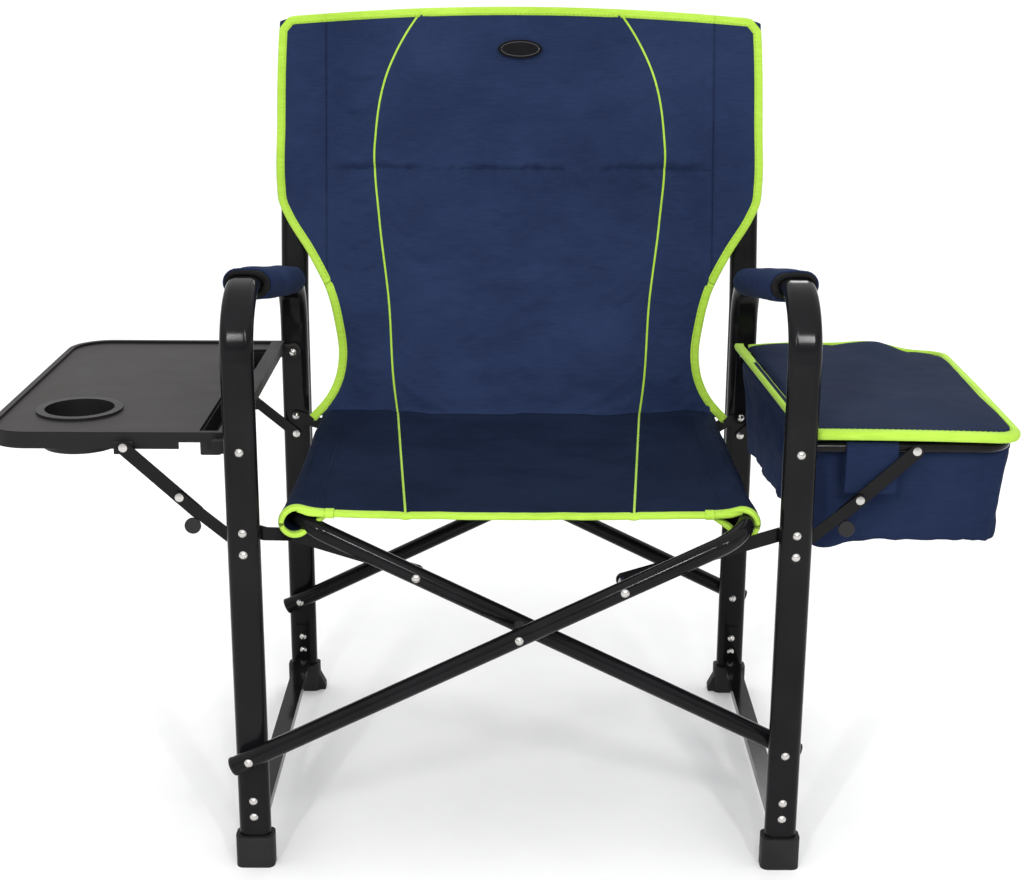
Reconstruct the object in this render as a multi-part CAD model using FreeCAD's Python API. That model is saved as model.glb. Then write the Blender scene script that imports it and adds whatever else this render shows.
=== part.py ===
import FreeCAD, Part
import math
import os

V = FreeCAD.Vector

# ---- driving dimensions, millimetres; X across, Y front to back, Z up --------------------
LEG_X = 316.0            # leg centre plane each side of the middle
LEG_WIDE = 38.0          # flat-oval tube, across
LEG_THICK = 20.0         # flat-oval tube, front to back
FRONT_Y = -293.0         # front leg centre
REAR_Y = FRONT_Y + 508.0  # rear leg centre
POST_Y = REAR_Y + 20.3   # back post centre, behind the rear leg
LEG_BOTTOM = 6.0
ARM_FRONT_Z = 709.4      # arm centre line produced to the front leg
ARM_REAR_Z = 618.8       # arm centre line produced to the rear leg
BEND_R = 72.0
PAD_FRONT = 100.0        # arm cover, from the front leg
PAD_BACK = 80.0          # arm cover, from the rear leg
POST_LOW_Z = 370.0
POST_KINK_Z = 588.0
POST_TOP_Z = 952.0
POST_LEAN = 12.3         # degrees from upright
POST_BEND_R = 200.0

HINGE_Z = 520.0          # side table and bag hinge pins
LINK_Z = 424.0           # brace link pivot on the leg
STRUT_Z = 398.0          # strut pivot on the leg
CROSS_Z = 148.0          # lower pivot of the crossing tubes
RAIL_RIVET_Z = (86.0, 65.0)

CROSS_R = 11.0           # crossing tube radius
CROSS_ANGLE = 26.2       # degrees from level, open
CROSS_REACH = 642.0      # lower pivot to seat rail
CROSS_TAIL = 20.0
CROSS_BEND_R = 40.0
CROSS_STEP = 22.0        # tube centre to leg centre, front to back
LINK_POINT_X = 120.0     # brace link pivot on the crossing tube

PIN_R = 2.4
FIT = 0.05
HEAD_R = 5.0
HEAD_H = 2.6

TRAY_IN = 328.0
TRAY_OUT = 617.0
TRAY_FRONT = FRONT_Y + 22.0
TRAY_BACK = REAR_Y - 18.0
TRAY_CORNER_R = 52.0
CUP_X = -527.0
CUP_Y = FRONT_Y + 128.0
CUP_R = 42.0
CUP_LIP_R = 51.0
CUP_FLOOR_Z = 490.0
TRAY_LOW_Z = 515.0         # skirt of the side table
TRAY_SHEET_LOW_Z = 527.0
TRAY_SHEET_TOP_Z = 531.5
TRAY_RIM_Z = 535.0
INNER_BAR = 17.0           # bar along the chair side of the side table
INNER_BAR_Z = 521.0
SLOT_WIDE = 24.0           # pockets beside the inner bar
SLOT_ENDS = ((TRAY_FRONT + 17.0, -60.0), (-40.0, TRAY_BACK - 40.0))
POCKET_WALL = 2.0
POCKET_LOW_Z = 503.0
LINK_NOTCH_X = (-390.0, -358.0)   # lets the folded brace link past the front skirt
LINK_NOTCH_Z = 523.0

STRUT_TOP_X = 452.0
STRUT_TOP_Z = 518.0
STRUT_MID_X = 390.0
STRUT_MID_Z = 460.0
KNOB_R = 9.5
KNOB_ALONG = 64.0          # thumb piece, from the leg pivot along the lower strut
KNOB_BELOW = 17.0          # thumb piece, below the lower strut
BAR_T = 2.0
LOW_HEAD = 0.9           # flat rivet heads between the strut bars
LOWER_GAP = 1.6          # leg face to the lower strut
UPPER_GAP = 4.9          # leg face to the upper strut

BAG_BAR_R = 6.5
BAG_BAR_X = 562.0
BAG_BAR_FRONT = FRONT_Y + 27.0
BAG_BAR_BACK = REAR_Y - 46.0
BAG_IN_FRONT = 331.0      # chair-side wall of the bag, at its front and rear
BAG_IN_REAR = 303.0
BASE_IN = 356.0
BASE_OUT = 556.0
BASE_LOW_Z = 404.0
BASE_THICK = 3.0
BASE_EDGE = 16.0           # board edge, from the front and rear of the bag
BAG_OUT = 572.0
BAG_FRONT = FRONT_Y + 38.0
BAG_BACK = REAR_Y - 61.0
BAG_LOW_Z = 398.0
BAG_TOP_Z = 511.0
BAG_WALL = 5.0
BAG_CORNER_R = 22.0
LID_IN = 333.0
LID_OUT = 574.0
LID_LOW_Z = 530.0
LID_TOP_Z = 546.0
BAND_FRONT_X = 322.0       # outer edge of the bag's chair-side band
BAND_REAR_X = 298.0
BAND_LOW_Z = 534.0
BAND_THICK = 11.0

SEAT_FRONT = FRONT_Y + 18.0
SEAT_BACK = FRONT_Y + 446.0
SEAT_LOW_Z = 437.5
SEAT_TOP_Z = 447.0

CENTRE_SHIFT = (TRAY_OUT - LID_OUT) / 2   # puts the origin under the middle of the whole width

LEG_FRONT_FACE = FRONT_Y - LEG_THICK / 2
LEG_BACK_FACE = FRONT_Y + LEG_THICK / 2
REAR_FRONT_FACE = REAR_Y - LEG_THICK / 2
REAR_BACK_FACE = REAR_Y + LEG_THICK / 2
POST_BACK_FACE = POST_Y + LEG_THICK / 2


# ---- small tools -------------------------------------------------------------------------
def save(name, solids):
    """Write one named piece, made of one or more closed solids, in the row's frame."""
    shape = solids[0] if len(solids) == 1 else Part.makeCompound(solids)
    shape.translate(V(CENTRE_SHIFT, 0, 0))
    shape.exportStep("parts/" + name + ".step")


def solid_of(shape):
    """Return the single solid of a shape that came out of a boolean or a sweep."""
    return shape.Solids[0]


def mirrored(shape):
    """Mirror a shape from the left side to the right side."""
    return shape.mirror(V(0, 0, 0), V(1, 0, 0))


def box(x0, x1, y0, y1, z0, z1):
    """Make a box from its limits."""
    return Part.makeBox(x1 - x0, y1 - y0, z1 - z0, V(x0, y0, z0))


def rod(x, z, y0, y1, radius):
    """Make a round rod along Y."""
    return Part.makeCylinder(radius, y1 - y0, V(x, y0, z), V(0, 1, 0))


def round_edges(shape, radius, direction):
    """Round the straight edges that run along one direction."""
    edges = []
    for edge in shape.Edges:
        if edge.Curve.TypeId != "Part::GeomLine":
            continue
        if abs(edge.tangentAt(edge.FirstParameter).dot(direction)) > 0.999:
            edges.append(edge)
    return shape.makeFillet(radius, edges)


def dome(x, z, y, outward, height=HEAD_H):
    """Make a domed rivet head sitting on the plane at y, bulging to outward (+1 or -1)."""
    ball_r = (HEAD_R ** 2 + height ** 2) / (2 * height)
    ball = Part.makeSphere(ball_r, V(x, y - outward * (ball_r - height), z))
    low = y if outward > 0 else y - height - 1
    return solid_of(ball.common(box(x - 9, x + 9, low, low + height + 1, z - 9, z + 9)))


def rivet(x, z, y0, y1, head0=HEAD_H, head1=HEAD_H):
    """Make a rivet along Y, with a domed head beyond each of y0 and y1."""
    shank = rod(x, z, y0 - 0.3, y1 + 0.3, PIN_R)
    return solid_of(shank.fuse([dome(x, z, y0, -1, head0), dome(x, z, y1, 1, head1)]).removeSplitter())


def drilled(shape, places, radius=PIN_R + FIT):
    """Drill holes along Y at the (x, z, y0, y1) places."""
    return solid_of(shape.cut([rod(x, z, y0, y1, radius) for x, z, y0, y1 in places]))


def rounded_path(points, radii):
    """Join points by straight runs with a round bend at each inner point."""
    edges = []
    start = points[0]
    for before, corner, after, radius in zip(points, points[1:], points[2:], radii):
        back = (before - corner).normalize()
        ahead = (after - corner).normalize()
        half = back.getAngle(ahead) / 2
        reach = radius / math.tan(half)
        first = corner + back * reach
        last = corner + ahead * reach
        inward = (back + ahead).normalize()
        middle = corner + inward * (radius / math.sin(half) - radius)
        edges.append(Part.makeLine(start, first))
        edges.append(Part.Arc(first, middle, last).toShape())
        start = last
    edges.append(Part.makeLine(start, points[-1]))
    return Part.Wire(edges)


def oval_wire(centre, across, through, wide, thick):
    """Draw a flat-oval outline: two straight sides and two round ends."""
    radius = thick / 2
    run = wide / 2 - radius
    a = centre + across * run
    b = centre - across * run
    side = through * radius
    edges = [Part.makeLine(b - side, a - side),
             Part.Arc(a - side, a + across * radius, a + side).toShape(),
             Part.makeLine(a + side, b + side),
             Part.Arc(b + side, b - across * radius, b - side).toShape()]
    return Part.Wire(edges)


def swept_oval(points, radii, grow=0.0):
    """Sweep the flat-oval tube along a path that lies in a YZ plane."""
    path = rounded_path(points, radii)
    through = (points[1] - points[0]).normalize().cross(V(1, 0, 0))
    outline = oval_wire(points[0], V(1, 0, 0), through, LEG_WIDE + 2 * grow, LEG_THICK + 2 * grow)
    return solid_of(path.makePipeShell([outline], True, False))


def swept_round(points, radii, radius):
    """Sweep a round tube along a path."""
    path = rounded_path(points, radii)
    ring = Part.Wire(Part.makeCircle(radius, points[0], points[1] - points[0]))
    return solid_of(path.makePipeShell([ring], True, False))


def plate_link(x0, z0, x1, z1, y0, y1, radius, past=0.0):
    """Make a flat bar with round ends between two points, running past the second one."""
    along = V(x1 - x0, 0, z1 - z0)
    length = along.Length + past
    bar = Part.makeBox(length, y1 - y0, 2 * radius, V(0, y0, -radius))
    ends = [rod(0, 0, y0, y1, radius), rod(length, 0, y0, y1, radius)]
    bar = bar.fuse(ends).removeSplitter()
    bar.rotate(V(0, 0, 0), V(0, -1, 0), math.degrees(math.atan2(along.z, along.x)))
    bar.translate(V(x0, 0, z0))
    return solid_of(bar)


# ---- side frames -------------------------------------------------------------------------
def arm_points(x):
    """Corners of the bent side tube's centre line."""
    return [V(x, FRONT_Y, LEG_BOTTOM), V(x, FRONT_Y, ARM_FRONT_Z),
            V(x, REAR_Y, ARM_REAR_Z), V(x, REAR_Y, LEG_BOTTOM)]


def post_points(x):
    """Corners of the back post's centre line."""
    rise = POST_TOP_Z - POST_KINK_Z
    top = V(x, POST_Y + rise * math.tan(math.radians(POST_LEAN)), POST_TOP_Z)
    return [V(x, POST_Y, POST_LOW_Z), V(x, POST_Y, POST_KINK_Z), top]


def leg_holes(x):
    """Pin holes through the front and rear legs and the back post."""
    heights = (HINGE_Z, LINK_Z, STRUT_Z, CROSS_Z) + RAIL_RIVET_Z
    places = [(x, z, FRONT_Y - 15, FRONT_Y + 15) for z in heights]
    places += [(x, z, REAR_Y - 15, POST_Y + 15) for z in heights]
    return places


def side_tube(x):
    """Front leg, arm and rear leg: one bent flat-oval tube."""
    return drilled(swept_oval(arm_points(x), [BEND_R, BEND_R]), leg_holes(x), PIN_R + 0.02)


def back_post(x):
    """Back post, riveted behind the rear leg and leaning back above the arm."""
    return drilled(swept_oval(post_points(x), [POST_BEND_R]), leg_holes(x), PIN_R + 0.02)


def lower_rail(x):
    """Pressed channel between the feet, with both ends turned up against the legs."""
    y0 = LEG_BACK_FACE + 0.1
    y1 = REAR_FRONT_FACE - 0.1
    web = box(x - 11, x + 11, y0, y1, 53, 55)
    lip_a = box(x - 11, x - 9, y0, y1, 43, 54)
    lip_b = box(x + 9, x + 11, y0, y1, 43, 54)
    tab_a = box(x - 9, x + 9, y0, y0 + 2, 43, 105)
    tab_b = box(x - 9, x + 9, y1 - 2, y1, 43, 105)
    rail = web.fuse([lip_a, lip_b, tab_a, tab_b]).removeSplitter()
    return drilled(rail, leg_holes(x), PIN_R + 0.02)


def arm_sleeve(x, y0, y1, inner, outer):
    """Straight sleeve round the arm between two front-to-back stations."""
    drop = (ARM_REAR_Z - ARM_FRONT_Z) / (REAR_Y - FRONT_Y)
    start = V(x, y0, ARM_FRONT_Z + drop * (y0 - FRONT_Y))
    end = V(x, y1, ARM_FRONT_Z + drop * (y1 - FRONT_Y))
    solids = []
    for grow in (outer, inner):
        heading = (end - start).normalize()
        outline = oval_wire(start, V(1, 0, 0), heading.cross(V(1, 0, 0)),
                            LEG_WIDE + 2 * grow, LEG_THICK + 2 * grow)
        solids.append(Part.Face(outline).extrude(end - start))
    return solid_of(solids[0].cut(solids[1]))


def boot(x, y, wedge):
    """Rubber foot round the bottom of a leg; wedge puts a sloping toe on its inner side."""
    foot = box(x - 23, x + 23, y - 14.5, y + 14.5, 0, 40)
    foot = round_edges(foot, 9, V(0, 0, 1))
    if wedge:
        side = 1 if x < 0 else -1
        toe = Part.makePolygon([V(x + side * 20, 0, 0), V(x + side * 31, 0, 0),
                                V(x + side * 31, 0, 8), V(x + side * 20, 0, 30),
                                V(x + side * 20, 0, 0)])
        toe = Part.Face(toe).extrude(V(0, 16, 0))
        toe.translate(V(0, y - 8, 0))
        foot = foot.fuse(toe).removeSplitter()
    hollow = oval_wire(V(x, y, LEG_BOTTOM - 0.1), V(1, 0, 0), V(0, 1, 0), LEG_WIDE + 0.1, LEG_THICK + 0.1)
    return solid_of(foot.cut(Part.Face(hollow).extrude(V(0, 0, 60))))


def front_pins(x, cross_behind):
    """Rivets through the front leg: hinge, link, strut, crossing tube and lower rail."""
    front = LEG_FRONT_FACE
    hinge_end = BAG_BAR_FRONT + 4.3 if cross_behind else TRAY_FRONT + 4.3
    hinge = rivet(x, HINGE_Z, front, hinge_end)
    link = rivet(x, LINK_Z, front, LEG_BACK_FACE + 3.8)
    strut = rivet(x, STRUT_Z, front, LEG_BACK_FACE + LOWER_GAP + BAR_T + 0.1, HEAD_H, LOW_HEAD)
    if cross_behind:
        cross = rivet(x, CROSS_Z, front, FRONT_Y + CROSS_STEP + CROSS_R + 0.3)
    else:
        cross = rivet(x, CROSS_Z, FRONT_Y - CROSS_STEP - CROSS_R - 0.3, LEG_BACK_FACE)
    rails = [rivet(x, z, front, LEG_BACK_FACE + 2.2) for z in RAIL_RIVET_Z]
    return [hinge, link, strut, cross] + rails


def rear_pins(x, cross_behind):
    """Rivets through the rear leg and, above, through the back post as well."""
    face = REAR_FRONT_FACE
    hinge_end = BAG_BAR_BACK - 4.3 if cross_behind else TRAY_BACK - 8.3
    hinge = rivet(x, HINGE_Z, hinge_end, POST_BACK_FACE)
    link = rivet(x, LINK_Z, face - 3.8, POST_BACK_FACE)
    strut = rivet(x, STRUT_Z, face - LOWER_GAP - BAR_T - 0.1, POST_BACK_FACE, LOW_HEAD, HEAD_H)
    if cross_behind:
        cross = rivet(x, CROSS_Z, face, REAR_Y + CROSS_STEP + CROSS_R + 0.3)
    else:
        cross = rivet(x, CROSS_Z, REAR_Y - CROSS_STEP - CROSS_R - 0.3, REAR_BACK_FACE)
    rails = [rivet(x, z, face - 2.2, REAR_BACK_FACE) for z in RAIL_RIVET_Z]
    return [hinge, link, strut, cross] + rails


def make_side(side, x):
    """Write every piece of one side frame."""
    cross_behind = side == "right"
    save(side + "_side_tube", [side_tube(x)])
    save(side + "_back_post", [back_post(x)])
    save(side + "_lower_rail", [lower_rail(x)])
    save(side + "_arm_foam", [arm_sleeve(x, FRONT_Y + PAD_FRONT - 14, REAR_Y - PAD_BACK - 2, 0.1, 5.8)])
    save(side + "_arm_cover", [arm_sleeve(x, FRONT_Y + PAD_FRONT, REAR_Y - PAD_BACK, 5.9, 7.2)])
    save(side + "_front_boot", [boot(x, FRONT_Y, False)])
    save(side + "_rear_boot", [boot(x, REAR_Y, True)])
    save(side + "_front_rivets", front_pins(x, cross_behind))
    save(side + "_rear_rivets", rear_pins(x, cross_behind))


# ---- crossing tubes, brace links ---------------------------------------------------------
def cross_points(side, front_y, rear_y):
    """Centre line of a crossing tube: up one diagonal, back along the rail, down again."""
    c = math.cos(math.radians(CROSS_ANGLE))
    s = math.sin(math.radians(CROSS_ANGLE))
    foot_x = side * (LEG_X + CROSS_TAIL * c)
    foot_z = CROSS_Z - CROSS_TAIL * s
    rail_x = side * (LEG_X - CROSS_REACH * c)
    rail_z = CROSS_Z + CROSS_REACH * s
    return [V(foot_x, front_y, foot_z), V(rail_x, front_y, rail_z),
            V(rail_x, rear_y, rail_z), V(foot_x, rear_y, foot_z)]


def cross_solid(side, step, radius):
    """Bare crossing tube; side is where its feet are, step its offset behind the legs."""
    points = cross_points(side, FRONT_Y + step, REAR_Y + step)
    return swept_round(points, [CROSS_BEND_R, CROSS_BEND_R], radius)


def cross_height(x, side):
    """Height of a crossing tube's centre line over a given x."""
    return CROSS_Z + abs(side * LEG_X - x) * math.tan(math.radians(CROSS_ANGLE))


def cross_tube(side, step):
    """Crossing tube with its pivot holes."""
    places = []
    for y in (FRONT_Y + step, REAR_Y + step):
        for x in (side * LEG_X, 0.0, -side * LINK_POINT_X):
            places.append((x, cross_height(x, side), y - 15, y + 15))
    return drilled(cross_solid(side, step, CROSS_R), places)


def cross_plugs(side, step):
    """Plastic plugs closing the cut ends of a crossing tube."""
    plugs = []
    for points in (cross_points(side, FRONT_Y + step, REAR_Y + step),
                   cross_points(side, FRONT_Y + step, REAR_Y + step)[::-1]):
        along = (points[0] - points[1]).normalize()
        plug = Part.makeCylinder(CROSS_R + 0.4, 3, points[0] + along * 0.05, along)
        plugs.append(solid_of(plug.makeFillet(1.2, [plug.Edges[0]])))
    return plugs


def crossing_pins():
    """The two rivets where the tubes cross."""
    z = cross_height(0, 1)
    reach = CROSS_STEP + CROSS_R + 0.2
    return [rivet(0, z, y - reach, y + reach) for y in (FRONT_Y, REAR_Y)]


def crossing_bushes():
    """Spacer bushes between the tubes at the crossing."""
    z = cross_height(0, 1)
    bushes = []
    for y in (FRONT_Y, REAR_Y):
        bush = rod(0, z, y - 10.7, y + 10.7, 8)
        bushes.append(drilled(bush, [(0, z, y - 20, y + 20)]))
    return bushes


def link_studs(side, step):
    """Rivets and spacers by which a crossing tube meets its two brace links."""
    x = -side * LINK_POINT_X
    z = cross_height(x, side)
    studs = []
    for y, inward in ((FRONT_Y + step, 1), (REAR_Y + step, -1)):
        leg_y = FRONT_Y if inward > 0 else REAR_Y
        leg_face = leg_y + inward * (LEG_THICK / 2 + 0.2)
        near = y + inward * (CROSS_R + 0.6)
        tip = near if (leg_face - near) * inward < 0 else leg_face
        outer = y - inward * (CROSS_R + 0.2)
        shank = rod(x, z, min(outer, tip), max(outer, tip), PIN_R)
        parts = [dome(x, z, outer, -inward)]
        if abs(tip - near) > 1:
            start = y + inward * (CROSS_R + 0.2)
            parts.append(rod(x, z, min(start, tip), max(start, tip), 6))
        studs.append(solid_of(shank.fuse(parts).removeSplitter()))
    return studs


def link_profile(length, y_leg, y_tube):
    """Edge-on shape of a brace link, cranked from the leg's layer to the tube's layer."""
    t = 1.5
    if abs(y_leg - y_tube) < 0.1:
        return Part.makeBox(length, 2 * t, 16, V(0, y_leg - t, -8))
    points = [V(0, y_leg - t, -8), V(24, y_leg - t, -8), V(54, y_tube - t, -8),
              V(length, y_tube - t, -8), V(length, y_tube + t, -8), V(54, y_tube + t, -8),
              V(24, y_leg + t, -8), V(0, y_leg + t, -8), V(0, y_leg - t, -8)]
    return Part.Face(Part.makePolygon(points)).extrude(V(0, 0, 16))


def brace_link(side, y_leg, y_tube, inward):
    """Flat brace link from the leg on one side to the crossing tube, drilled at the leg."""
    x1 = side * LINK_POINT_X
    z1 = cross_height(x1, -side)
    along = V(x1 - side * LEG_X, 0, z1 - LINK_Z)
    bar = link_profile(along.Length, y_leg, y_tube)
    eye_a = rod(0, 0, y_leg - 1.5, y_leg + 1.5, 8)
    eye_b = rod(along.Length, 0, y_tube - 1.5, y_tube + 1.5, 8)
    cap = dome(along.Length, 0, y_tube + inward * 1.5, inward)
    bar = bar.fuse([eye_a, eye_b, cap]).removeSplitter()
    bar = drilled(bar, [(0, 0, y_leg - 5, y_leg + 5)])
    bar.rotate(V(0, 0, 0), V(0, -1, 0), math.degrees(math.atan2(along.z, along.x)))
    bar.translate(V(side * LEG_X, 0, LINK_Z))
    return bar


def make_cross():
    """Write the crossing tubes and the four brace links."""
    save("cross_tube_a", [cross_tube(-1, -CROSS_STEP)])
    save("cross_tube_b", [cross_tube(1, CROSS_STEP)])
    save("cross_plugs_a", cross_plugs(-1, -CROSS_STEP))
    save("cross_plugs_b", cross_plugs(1, CROSS_STEP))
    save("cross_rivets", crossing_pins())
    save("cross_bushes", crossing_bushes())
    save("link_studs_a", link_studs(-1, -CROSS_STEP))
    save("link_studs_b", link_studs(1, CROSS_STEP))
    near_front = LEG_BACK_FACE + 2.1
    near_rear = REAR_FRONT_FACE - 2.1
    far_front = FRONT_Y + CROSS_STEP + CROSS_R + 3.0
    far_rear = REAR_Y - CROSS_STEP - CROSS_R - 3.0
    save("left_link_front", [brace_link(-1, near_front, far_front, 1)])
    save("left_link_rear", [brace_link(-1, near_rear, near_rear, -1)])
    save("right_link_front", [brace_link(1, near_front, near_front, 1)])
    save("right_link_rear", [brace_link(1, near_rear, far_rear, -1)])


# ---- struts shared by the side table and the bag -----------------------------------------
def strut_layers(front):
    """Front-to-back limits of the upper and the lower strut bars, and of their rivets."""
    if front:
        face = LEG_BACK_FACE
        return (face + UPPER_GAP, face + UPPER_GAP + BAR_T), (face + LOWER_GAP, face + LOWER_GAP + BAR_T)
    face = REAR_FRONT_FACE
    return (face - UPPER_GAP - BAR_T, face - UPPER_GAP), (face - LOWER_GAP - BAR_T, face - LOWER_GAP)


def upper_strut(side, front):
    """Upper strut, running on past the middle joint as a stop."""
    y0, y1 = strut_layers(front)[0]
    bar = plate_link(side * STRUT_TOP_X, STRUT_TOP_Z, side * STRUT_MID_X, STRUT_MID_Z, y0, y1, 8, 26)
    return drilled(bar, [(side * STRUT_TOP_X, STRUT_TOP_Z, y0 - 5, y1 + 5)])


def lower_strut(side, front):
    """Lower strut from the leg to the middle rivet."""
    y0, y1 = strut_layers(front)[1]
    bar = plate_link(side * LEG_X, STRUT_Z, side * STRUT_MID_X, STRUT_MID_Z, y0, y1, 7)
    holes = [(side * LEG_X, STRUT_Z, y0 - 5, y1 + 5),
             (side * STRUT_MID_X, STRUT_MID_Z, y0 - 5, y1 + 5)]
    return drilled(bar, holes)


def middle_rivet(side, front):
    """Rivet in the lower strut at the middle joint, short of the upper strut."""
    y0, y1 = strut_layers(front)[1]
    shank = rod(side * STRUT_MID_X, STRUT_MID_Z, y0 - 0.3, y1 + 0.3, PIN_R)
    if front:
        head = dome(side * STRUT_MID_X, STRUT_MID_Z, y0 - 0.1, -1, LOW_HEAD)
    else:
        head = dome(side * STRUT_MID_X, STRUT_MID_Z, y1 + 0.1, 1, LOW_HEAD)
    return solid_of(shank.fuse(head).removeSplitter())


def lock_knob(side):
    """Plastic thumb piece riding under the front lower strut, near the middle joint."""
    y0, y1 = strut_layers(True)[1]
    along = V(STRUT_MID_X - LEG_X, 0, STRUT_MID_Z - STRUT_Z).normalize()
    x = side * (LEG_X + along.x * KNOB_ALONG + along.z * KNOB_BELOW)
    z = STRUT_Z + along.z * KNOB_ALONG - along.x * KNOB_BELOW
    knob = rod(x, z, y0 - 1.0, y1 + 0.8, KNOB_R)
    return solid_of(knob.makeFillet(0.8, [knob.Edges[0], knob.Edges[2]]))


def make_struts(name, side):
    """Write the four struts, their middle rivets and the thumb piece of one side."""
    for where, front in (("front", True), ("rear", False)):
        save(name + "_strut_upper_" + where, [upper_strut(side, front)])
        save(name + "_strut_lower_" + where, [lower_strut(side, front)])
        save(name + "_strut_rivet_" + where, [middle_rivet(side, front)])
    save(name + "_strut_knob", [lock_knob(side)])


# ---- side table --------------------------------------------------------------------------
def tray_outline(grow, z):
    """Rounded outline of the side table, drawn at a height, grown or shrunk all round."""
    x0 = -TRAY_OUT - grow
    x1 = -TRAY_IN + grow
    y0 = TRAY_FRONT - grow
    y1 = TRAY_BACK + grow
    r = TRAY_CORNER_R + grow
    k = r * (1 - math.sqrt(0.5))
    edges = [Part.makeLine(V(x1, y0, z), V(x0 + r, y0, z)),
             Part.Arc(V(x0 + r, y0, z), V(x0 + k, y0 + k, z), V(x0, y0 + r, z)).toShape(),
             Part.makeLine(V(x0, y0 + r, z), V(x0, y1 - r, z)),
             Part.Arc(V(x0, y1 - r, z), V(x0 + k, y1 - k, z), V(x0 + r, y1, z)).toShape(),
             Part.makeLine(V(x0 + r, y1, z), V(x1, y1, z)),
             Part.makeLine(V(x1, y1, z), V(x1, y0, z))]
    return Part.Face(Part.Wire(edges))


def hinge_lug(y0, y1):
    """Lug that takes a hinge pin at the inner edge of the side table."""
    eye = rod(-LEG_X, HINGE_Z, y0, y1, 9.5)
    arm = box(-TRAY_IN - 22, -LEG_X, y0, y1, HINGE_Z - 7, HINGE_Z + 8)
    return eye.fuse(arm)


def strut_tab(y0, y1):
    """Tab under the edge of the side table where a strut is riveted."""
    tab = box(-STRUT_TOP_X - 11, -STRUT_TOP_X + 11, y0, y1, STRUT_TOP_Z - 8, STRUT_TOP_Z + 6)
    return tab


def tray_sheet():
    """Thin top of the side table with its raised rim and its skirt."""
    block = tray_outline(0, TRAY_LOW_Z).extrude(V(0, 0, TRAY_RIM_Z - TRAY_LOW_Z))
    under = tray_outline(-3.5, TRAY_LOW_Z - 1).extrude(V(0, 0, TRAY_SHEET_LOW_Z - TRAY_LOW_Z + 1))
    above = tray_outline(-7, TRAY_SHEET_TOP_Z).extrude(V(0, 0, 10))
    return block.cut([under, above])


def slot_box(ends, grow, z0, z1):
    """Upright box over one slot of the side table, grown all round."""
    x1 = -TRAY_IN - INNER_BAR
    return box(x1 - SLOT_WIDE - grow, x1 + grow, ends[0] - grow, ends[1] + grow, z0, z1)


def tray_top():
    """Side table: thin top with a raised rim, a skirt, two slots and its hinge lugs."""
    x0 = -TRAY_IN - INNER_BAR
    inner_bar = box(x0, -TRAY_IN, TRAY_FRONT, TRAY_BACK, INNER_BAR_Z, TRAY_RIM_Z)
    bar_gap = box(x0, -TRAY_IN, TRAY_FRONT - 1, TRAY_BACK + 1, TRAY_LOW_Z - 5, INNER_BAR_Z)
    slots = [slot_box(ends, 0, TRAY_LOW_Z - 5, TRAY_RIM_Z + 5) for ends in SLOT_ENDS]
    top = tray_sheet().cut(bar_gap).fuse(inner_bar).cut(slots)
    ring_high = TRAY_SHEET_TOP_Z - TRAY_LOW_Z
    seat = tray_outline(-1, TRAY_LOW_Z).extrude(V(0, 0, ring_high))
    ring = Part.makeCylinder(CUP_R + 10, ring_high, V(CUP_X, CUP_Y, TRAY_LOW_Z)).common(seat)
    top = top.fuse(ring).cut(Part.makeCylinder(CUP_R + 3.6, 60, V(CUP_X, CUP_Y, 480)))
    lugs = [hinge_lug(LEG_BACK_FACE + 0.5, TRAY_FRONT + 4),
            hinge_lug(TRAY_BACK - 8, REAR_FRONT_FACE - 0.5),
            strut_tab(strut_layers(True)[0][1] + 0.4, TRAY_FRONT + 4),
            strut_tab(TRAY_BACK - 4, strut_layers(False)[0][0] - 0.4)]
    notch = box(LINK_NOTCH_X[0], LINK_NOTCH_X[1], TRAY_FRONT - 1, TRAY_FRONT + 6, TRAY_LOW_Z - 5, LINK_NOTCH_Z)
    top = top.fuse(lugs).removeSplitter().cut(notch)
    holes = [(-LEG_X, HINGE_Z, FRONT_Y, LEG_BACK_FACE + 22),
             (-LEG_X, HINGE_Z, REAR_FRONT_FACE - 22, REAR_Y),
             (-STRUT_TOP_X, STRUT_TOP_Z, FRONT_Y, TRAY_FRONT + 9),
             (-STRUT_TOP_X, STRUT_TOP_Z, TRAY_BACK - 9, REAR_Y)]
    return drilled(top, holes)


def tray_pocket(ends):
    """Open pocket hanging under one slot of the side table, its walls inside the slot's edge."""
    outer = slot_box(ends, 0, POCKET_LOW_Z, TRAY_SHEET_LOW_Z)
    inner = slot_box(ends, -POCKET_WALL, POCKET_LOW_Z + POCKET_WALL, TRAY_SHEET_LOW_Z + 5)
    return solid_of(round_edges(outer, 4, V(0, 0, 1)).cut(inner))


def tray_cup():
    """Cup holder: a lip resting on the side table and a cup hanging through it."""
    lip = Part.makeCylinder(CUP_LIP_R, 3.4, V(CUP_X, CUP_Y, TRAY_SHEET_TOP_Z + 0.1))
    wall = Part.makeCylinder(CUP_R + 3.4, TRAY_SHEET_TOP_Z + 0.1 - CUP_FLOOR_Z, V(CUP_X, CUP_Y, CUP_FLOOR_Z))
    bowl = Part.makeCone(CUP_R - 3, CUP_R, 60, V(CUP_X, CUP_Y, CUP_FLOOR_Z + 3))
    cup = lip.fuse(wall).removeSplitter().cut(bowl)
    return solid_of(cup)


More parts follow.
